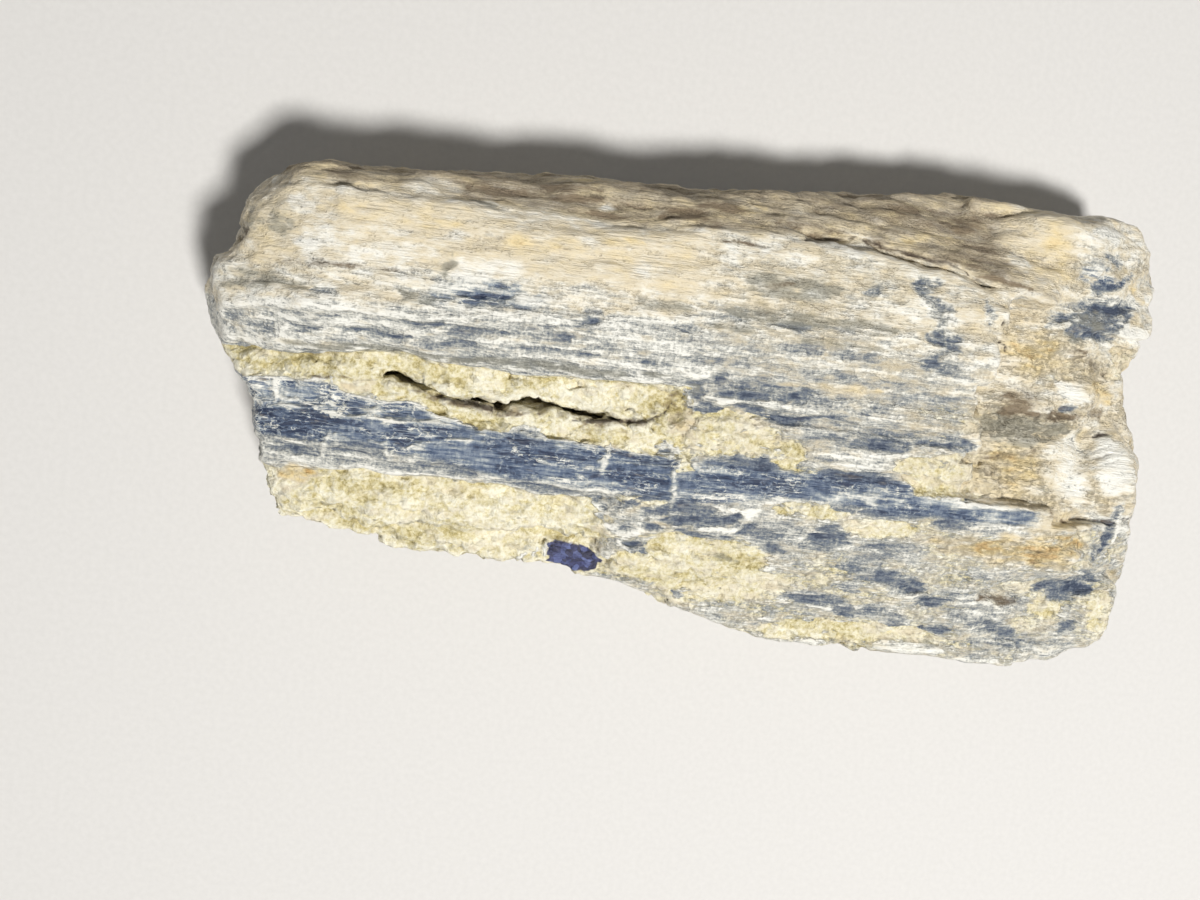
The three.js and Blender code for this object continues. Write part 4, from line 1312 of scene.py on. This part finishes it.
@dataclass
class KyaniteSpecimen:
    """The whole stone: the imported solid's form under a skin of striations, flakes and grains.

    Worn places are ovals in plan: the middle along and across the blades, and half the length and width. The
    nick is how far the front edge stands back at places along the blades.
    """

    coats: StoneCoats
    finish: KyaniteInQuartz
    name: str = "kyanite_specimen"
    seed: int = 40
    cell: float = 0.27
    stretch: float = 1.85
    most_faces: int = 194_000
    rounding: int = 4
    worn: tuple[tuple[float, float, float, float], ...] = (
        (-5.5, 0.5, 4.5, 6.0),
        (-46.0, -3.4, 13.0, 2.6),
        (-24.0, -5.0, 22.0, 2.0),
        (-13.0, -14.0, 4.0, 7.0),
        (14.0, -14.0, 20.0, 10.0),
        (43.5, -21.5, 6.0, 2.5),
        (10.0, 24.4, 8.0, 2.5),
        (24.0, 22.8, 14.0, 2.5),
        (38.0, 20.2, 9.0, 2.5),
        (12.0, 16.0, 22.0, 9.0),
        (-24.0, 21.6, 22.0, 2.4),
        (-61.0, 16.0, 4.5, 3.5),
    )
    worn_rounds: int = 60
    worn_limits: Point = (1.3, 0.6)
    worn_heights: Point = (10.0, 14.0)
    nick: Line = ((-37.0, 0.0), (-27.0, 1.0), (-20.0, 1.9), (-12.0, 1.6), (-2.0, 0.0))
    nick_from: float = -16.5
    nick_full: float = -21.5
    striation: float = 0.12
    striation_grain: Triple = (24.0, 0.9, 0.9)
    terrace: float = 0.32
    terrace_grain: Triple = (9.0, 2.0, 2.0)
    terrace_steps: float = 7.0
    terrace_riser: float = 0.7
    crust: float = 0.22
    crust_grain: Triple = (5.0, 0.9, 0.9)
    crust_ragged: float = 0.3
    crust_limits: Point = (0.62, 0.38)
    chip: float = 0.10
    chip_grain: Triple = (2.0, 0.8, 0.8)
    crag: float = 0.4
    crag_grain: Triple = (2.6, 1.6, 1.6)
    crag_limits: Point = (0.12, 0.40)
    quartz_grain: float = 0.56
    quartz_size: float = 1.7
    quartz_limits: Point = (0.4, 0.65)
    grain_round: float = 0.3
    grain_step: float = 0.35
    grain_tilt: float = 0.9
    boulder: float = 0.45
    boulder_size: float = 4.6
    sugar: float = 0.17
    sugar_grain: Triple = (1.0, 1.0, 1.0)
    crack_depth: float = 0.45
    cleft_swell: float = 0.5
    pressed: float = 0.25
    foot: float = 10.0
    spare_top: float = 0.04
    spare_side: float = 0.52
    spare_below: float = 0.76
    spare_steps: int = 25
    seen_heights: Point = (6.0, 12.0)
    seen_facing: Point = (-0.1, 0.3)
    below_facing: float = -0.6
    hollow_rounds: int = 10
    # Deeper blue in the hollows as painted shade, and whiter crests for wear
    hollow_blue: float = 0.5
    hollow_most: float = 0.3
    # Painted shade in the hollows: its strength, where it starts, its most, and how much less it is on quartz
    hollow_shade: float = 0.9
    hollow_shade_from: float = 0.12
    hollow_shade_most: float = 0.8
    soil_off_quartz: float = 0.6
    map_rounds: int = 8
    map_gap: float = 1.0
    map_top_favour: float = 1.3
    map_below_scale: float = 0.47
    mesh: bpy.types.Mesh = field(init=False)

    def build(self, node: bpy.types.Object) -> bpy.types.Object:
        """Makes the stone and dresses it.

        Args:
            node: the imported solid's object, which stays as it is.

        Returns:
            The finished piece.
        """
        skin = self._fine_skin(node)
        self._roughen(skin)
        piece = self._thinned(skin)
        self.mesh = piece.data
        self._rest()
        self._paint()
        self._bake_map()
        self.mesh.transform(Matrix.Scale(MM, 4))
        self.mesh.materials.clear()
        self.mesh.materials.append(self.finish.make())
        return piece

    def _carrier(self, mesh: bpy.types.Mesh) -> bpy.types.Object:
        """Puts a mesh in the scene under the piece's name."""
        holder = bpy.data.objects.new(self.name, mesh)
        bpy.context.scene.collection.objects.link(holder)
        return holder

    @staticmethod
    def _settled(holder: bpy.types.Object) -> bpy.types.Mesh:
        """Applies an object's modifiers.

        Args:
            holder: the object, which is removed.

        Returns:
            The mesh that its modifiers make.
        """
        graph = bpy.context.evaluated_depsgraph_get()
        graph.update()
        made = bpy.data.meshes.new_from_object(holder.evaluated_get(graph))
        bpy.data.objects.remove(holder)
        return made

    def _fine_skin(self, node: bpy.types.Object) -> bpy.types.Mesh:
        """Covers the solid with even cells that are longer along the blades than across them.

        Args:
            node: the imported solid's object.

        Returns:
            The skin, in millimetres.
        """
        shape = bmesh.new()
        shape.from_mesh(node.data)
        bmesh.ops.remove_doubles(shape, verts=shape.verts, dist=1e-6)
        packed = bpy.data.meshes.new(self.name + "_solid")
        shape.to_mesh(packed)
        shape.free()
        packed.transform(Matrix.Diagonal((1 / (MM * self.stretch), 1 / MM, 1 / MM, 1.0)))
        holder = self._carrier(packed)
        cells = holder.modifiers.new("cells", "REMESH")
        cells.mode = "VOXEL"
        cells.voxel_size = self.cell
        skin = self._settled(holder)
        skin.transform(Matrix.Diagonal((self.stretch, 1.0, 1.0, 1.0)))
        skin.update()
        return skin

    def _roughen(self, skin: bpy.types.Mesh) -> None:
        """Raises the striations, flakes, crust and grains of the real surface.

        Args:
            skin: the fine skin, in millimetres, which is changed.
        """
        points = evened(skin, mesh_points(skin), self.rounding)
        flat = evened(skin, points, self.worn_rounds)
        share = np.zeros(len(points))
        for x, y, half_length, half_width in self.worn:
            reach = ((points[:, 0] - x) / half_length) ** 2 + ((points[:, 1] - y) / half_width) ** 2
            share = np.maximum(share, smooth_step(*self.worn_limits, reach))
        share *= smooth_step(*self.worn_heights, points[:, 2])
        points += (flat - points) * share[:, None]
        points[:, 1] -= self.coats.wander * self.coats.drift(points)
        near_edge = smooth_step(self.nick_from, self.nick_full, points[:, 1])
        points[:, 1] += near_edge * np.interp(points[:, 0], *zip(*self.nick))
        move_points(skin, points)
        normals = mesh_normals(skin)
        coats = self.coats.at(points)
        quartz = smooth_step(*self.quartz_limits, coats["quartz"])
        lines = Grain(self.seed).layered(points, self.striation_grain, 3)
        plates = Grain(self.seed + 1).layered(points, self.terrace_grain, 3) * self.terrace_steps
        steps = np.floor(plates)
        plates = (steps + smooth_step(self.terrace_riser, 1.0, plates - steps)) / self.terrace_steps
        ragged = self.crust_ragged * Grain(self.seed + 2).layered(points, self.crust_grain, 3)
        crust = smooth_step(*self.crust_limits, coats["blue"] + ragged)
        grain, own, tilt = Grain(self.seed + 3).lumps(points, self.quartz_size)
        boulder, _, _ = Grain(self.seed + 6).lumps(points, self.boulder_size)
        sugar = Grain(self.seed + 4).layered(points, self.sugar_grain, 2)
        chips = Grain(self.seed + 5).layered(points, self.chip_grain, 2)
        crags = Grain(self.seed + 7).layered(points, self.crag_grain, 3)
        aged = smooth_step(*self.crag_limits, coats["stain"] + coats["olive"])
        weathered = aged * (1.0 - coats["face"])
        bladed = self.striation * lines + self.terrace * plates + self.crust * crust + self.chip * chips
        bladed += self.crag * weathered * crags
        faceted = self.grain_round * (grain - 0.5) + self.grain_step * own + self.grain_tilt * tilt
        grained = self.quartz_grain * faceted + self.sugar * sugar
        grained += self.boulder * (boulder - 0.5)
        rise = bladed * (1.0 - quartz) + grained * quartz - self.crack_depth * coats[CRACK_AND_SHADOW_NAME]
        for cleft in CLEFTS:
            rise += self.cleft_swell * cleft.share(points[:, 0], points[:, 1])
        move_points(skin, points + normals * rise[:, None])

    def _thinned(self, skin: bpy.types.Mesh) -> bpy.types.Object:
        """Takes faces away, more on the sides than on the top and most below.

        Args:
            skin: the roughened skin, in millimetres.

        Returns:
            The piece, with its final mesh in millimetres.
        """
        points = mesh_points(skin)
        facing = mesh_normals(skin)[:, 2]
        seen = smooth_step(*self.seen_heights, points[:, 2]) * smooth_step(*self.seen_facing, facing)
        aside = self.spare_top + (self.spare_side - self.spare_top) * (1.0 - seen)
        spare = np.where(facing < self.below_facing, self.spare_below, aside)
        spare = np.round(spare * self.spare_steps) / self.spare_steps
        holder = self._carrier(skin)
        group = holder.vertex_groups.new(name="spare")
        for weight in np.unique(spare):
            chosen = np.nonzero(spare == weight)[0]
            group.add(chosen.tolist(), float(weight), "REPLACE")
        faces = sum(len(p.vertices) - 2 for p in skin.polygons)
        thin = holder.modifiers.new("thin", "DECIMATE")
        thin.ratio = min(1.0, self.most_faces / faces)
        thin.use_collapse_triangulate = True
        thin.vertex_group = group.name
        thin.vertex_group_factor = 1.0
        final = self._settled(holder)
        LOG.info("skin of %d faces thinned to %d", faces, len(final.polygons))
        return self._carrier(final)

    def _rest(self) -> None:
        """Lowers the foot of the stone until its lowest places lie flat on the resting plane."""
        points = mesh_points(self.mesh)
        sunk = points[:, 2].min() + self.pressed
        points[:, 2] = np.maximum(points[:, 2] - sunk * smooth_step(self.foot, 0.0, points[:, 2]), 0.0)
        move_points(self.mesh, points)

    def _paint(self) -> None:
        """Writes each coat to the mesh, with painted shade in the hollows, as brown and as deeper blue, and
        bare white on the crests.
        """
        points = mesh_points(self.mesh)
        normals = mesh_normals(self.mesh)
        coats = self.coats.at(points)
        hollow = ((evened(self.mesh, points, self.hollow_rounds) - points) * normals).sum(axis=1)
        kept = 1.0 - self.soil_off_quartz * coats["quartz"]
        # Painted shade: the brown coat deepens in the hollows, less on quartz
        painted_hollow_shade = self.hollow_shade * np.clip(hollow - self.hollow_shade_from, 0.0, self.hollow_shade_most) * kept
        coats["dirt_and_shade"] = np.clip(coats["dirt_and_shade"] + painted_hollow_shade, 0.0, 1.0)
        # Deeper blue in the hollows is painted shade; whiter crests stand for wear
        hollow_shade_and_crest_wear = self.hollow_blue * np.clip(hollow, -self.hollow_most, self.hollow_most)
        coats["blue"] = np.clip(coats["blue"] + hollow_shade_and_crest_wear, 0.0, 1.0)
        coats[HOLLOW_NAME] = np.clip(NOISE_MIDDLE + hollow, 0.0, 1.0)
        for name, values in coats.items():
            layer = self.mesh.attributes.new(name, "FLOAT", "POINT")
            layer.data.foreach_set("value", values.astype(np.float32))
        self.mesh.polygons.foreach_set("use_smooth", np.ones(len(self.mesh.polygons), bool))

    def _bake_map(self) -> None:
        """Lays the surface out flat as seen from six sides, for a baked copy of the finish."""
        mesh = self.mesh
        points = mesh_points(mesh)
        facing = evened(mesh, mesh_normals(mesh), self.map_rounds)
        corners = np.empty(len(mesh.loops), np.int32)
        mesh.loops.foreach_get("vertex_index", corners)
        favour = np.array([1.0, 1.0, self.map_top_favour])
        turn = facing[corners].reshape(-1, 3, 3).mean(axis=1) * favour
        axis = np.abs(turn).argmax(axis=1)
        side = np.repeat(2 * axis + (turn[np.arange(len(axis)), axis] > 0), 3)
        spots = points[corners]
        along, across, up = (spots - points.min(axis=0)).T
        length, width, height = points.max(axis=0) - points.min(axis=0)
        gap = self.map_gap
        half = self.map_below_scale
        sheet = length + height + 3.0 * gap
        places = (
            (gap + length + gap + up, gap + across),
            (gap + length + gap + up, 2.0 * gap + width + across),
            (gap + along, 2.0 * gap + width + up),
            (gap + along, 3.0 * gap + width + height + up),
            (gap + half * along, 4.0 * gap + width + 2.0 * height + half * across),
            (gap + along, gap + across),
        )
        flat = np.zeros((len(corners), 2), np.float32)
        for number, (right, rise) in enumerate(places):
            here = side == number
            flat[here, 0] = (right / sheet)[here]
            flat[here, 1] = (rise / sheet)[here]
        layer = mesh.uv_layers.new(name="OFBake")
        layer.data.foreach_set("uv", np.clip(flat, 0.0, 1.0).ravel())


@dataclass(frozen=True)
class PhotoView:
    """Where the photograph was taken from, and its size in pixels."""

    width: int = 1200
    height: int = 900
    target: Triple = (-13.5, -6.9, 15.0)
    back: Triple = (-0.1520, 0.1477, 0.9773)
    up: Triple = (-0.0981, 0.9816, -0.1637)
    distance: float = 160.0
    lens: float = 36.0
    sensor: float = 36.0
    nearest: float = 10.0
    missed_height: float = 16.0
    digits: int = 1

    def turn(self) -> Matrix:
        """Gives the directions to the right, up and back, as columns."""
        back = Vector(self.back).normalized()
        right = Vector(self.up).cross(back).normalized()
        return Matrix((right, back.cross(right), back)).transposed()

    def eye(self) -> Vector:
        """Gives the place that the photograph was taken from."""
        return Vector(self.target) + Vector(self.back).normalized() * self.distance

    def line_in_plan(self, solid: BVHTree, pixels: Line) -> Line:
        """Carries a line from the photograph to the stone.

        Args:
            solid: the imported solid's faces, in metres.
            pixels: the line's points in the photograph.

        Returns:
            The line in plan, to a tenth of a millimetre. A point beside the stone is met at a middle height.
        """
        scale = self.sensor / (self.lens * self.width)
        turn = self.turn()
        eye = self.eye()
        found = []
        for column, row in pixels:
            sight = turn @ Vector(((column - self.width / 2) * scale, (self.height / 2 - row) * scale, -1.0))
            met, _, _, _ = solid.ray_cast(eye * MM, sight)
            if met is None:
                place = eye + sight * ((self.missed_height - eye.z) / sight.z)
            else:
                place = met / MM
            found.append((round(place.x, self.digits), round(place.y, self.digits)))
        return tuple(found)

    def strokes(self, packed: bpy.types.Mesh) -> tuple[Stroke, ...]:
        """Places every mark on the stone, one kind after the other.

        Args:
            packed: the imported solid's mesh.

        Returns:
            The marks' strokes in plan.
        """
        corners = [vertex.co for vertex in packed.vertices]
        solid = BVHTree.FromPolygons(corners, [tuple(face.vertices) for face in packed.polygons])
        placed = []
        for mark, rows in PHOTO_MARKS.items():
            for half_width, strength, pixels in rows:
                placed.append(Stroke(mark, half_width, strength, self.line_in_plan(solid, pixels)))
            placed.extend(Stroke(mark, *row) for row in PLAN_MARKS.get(mark, ()))
        return tuple(placed)


@dataclass
class Studio:
    """The floor, the lights and the camera."""

    floor_finish: PalePaper
    view: PhotoView
    floor_size: float = 4000.0
    key_from: Triple = (105.0, -170.0, 650.0)
    key_size: float = 90.0
    key_watts: float = 5.5
    fill_from: Triple = (-300.0, 500.0, 500.0)
    fill_size: float = 700.0
    fill_watts: float = 0.35
    sky: str = "F2F4F8"
    sky_strength: float = 0.15

    def build(self) -> None:
        """Sets up everything that isn't the stone."""
        self._floor()
        self._lamp("key_light", self.key_from, self.key_size, self.key_watts)
        self._lamp("fill_light", self.fill_from, self.fill_size, self.fill_watts)
        self._sky()
        self._camera()

    def _floor(self) -> None:
        """Lays the pale floor under the stone."""
        half = self.floor_size * MM / 2
        mesh = bpy.data.meshes.new("studio_floor")
        corners = [(-half, -half, 0), (half, -half, 0), (half, half, 0), (-half, half, 0)]
        mesh.from_pydata(corners, [], [(0, 1, 2, 3)])
        mesh.materials.append(self.floor_finish.make())
        floor = bpy.data.objects.new("studio_floor", mesh)
        bpy.context.scene.collection.objects.link(floor)

    def _lamp(self, name: str, place: Triple, size: float, watts: float) -> None:
        """Hangs a soft square light that faces the stone.

        Args:
            name: the light's name.
            place: where it hangs.
            size: the length of its side.
            watts: its power.
        """
        light = bpy.data.lights.new(name, "AREA")
        light.size = size * MM
        light.energy = watts
        lamp = bpy.data.objects.new(name, light)
        lamp.location = Vector(place) * MM
        lamp.rotation_euler = lamp.location.to_track_quat("Z", "Y").to_euler()
        bpy.context.scene.collection.objects.link(lamp)

    def _sky(self) -> None:
        """Fills the room with even pale light."""
        world = bpy.data.worlds.new("studio_room")
        world.use_nodes = True
        ground = world.node_tree.nodes["Background"]
        ground.inputs["Color"].default_value = linear_colour(self.sky)
        ground.inputs["Strength"].default_value = self.sky_strength
        bpy.context.scene.world = world
        bpy.context.scene.view_settings.view_transform = "Standard"

    def _camera(self) -> None:
        """Puts the camera where the photograph was taken from."""
        lens = bpy.data.cameras.new("photo_camera")
        lens.sensor_fit = "HORIZONTAL"
        lens.sensor_width = self.view.sensor
        lens.lens = self.view.lens
        lens.clip_start = self.view.nearest * MM
        camera = bpy.data.objects.new("photo_camera", lens)
        camera.matrix_world = Matrix.Translation(self.view.eye() * MM) @ self.view.turn().to_4x4()
        bpy.context.scene.collection.objects.link(camera)
        bpy.context.scene.camera = camera


def main() -> None:
    logging.basicConfig(level=logging.INFO, format="%(name)s: %(message)s")
    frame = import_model()
    node = frame["nodes"][CAD_NODE]
    view = PhotoView()
    Studio(PalePaper(), view).build()
    LOG.info("studio ready")
    strokes = view.strokes(node.data)
    LOG.info("%d marks placed", len(strokes))
    stone = KyaniteSpecimen(StoneCoats(strokes), KyaniteInQuartz()).build(node)
    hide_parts(CAD_NODE)
    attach(stone, BODY)
    LOG.info("%s ready, %d faces", stone.name, len(stone.data.polygons))


if __name__ == "__main__":
    main()
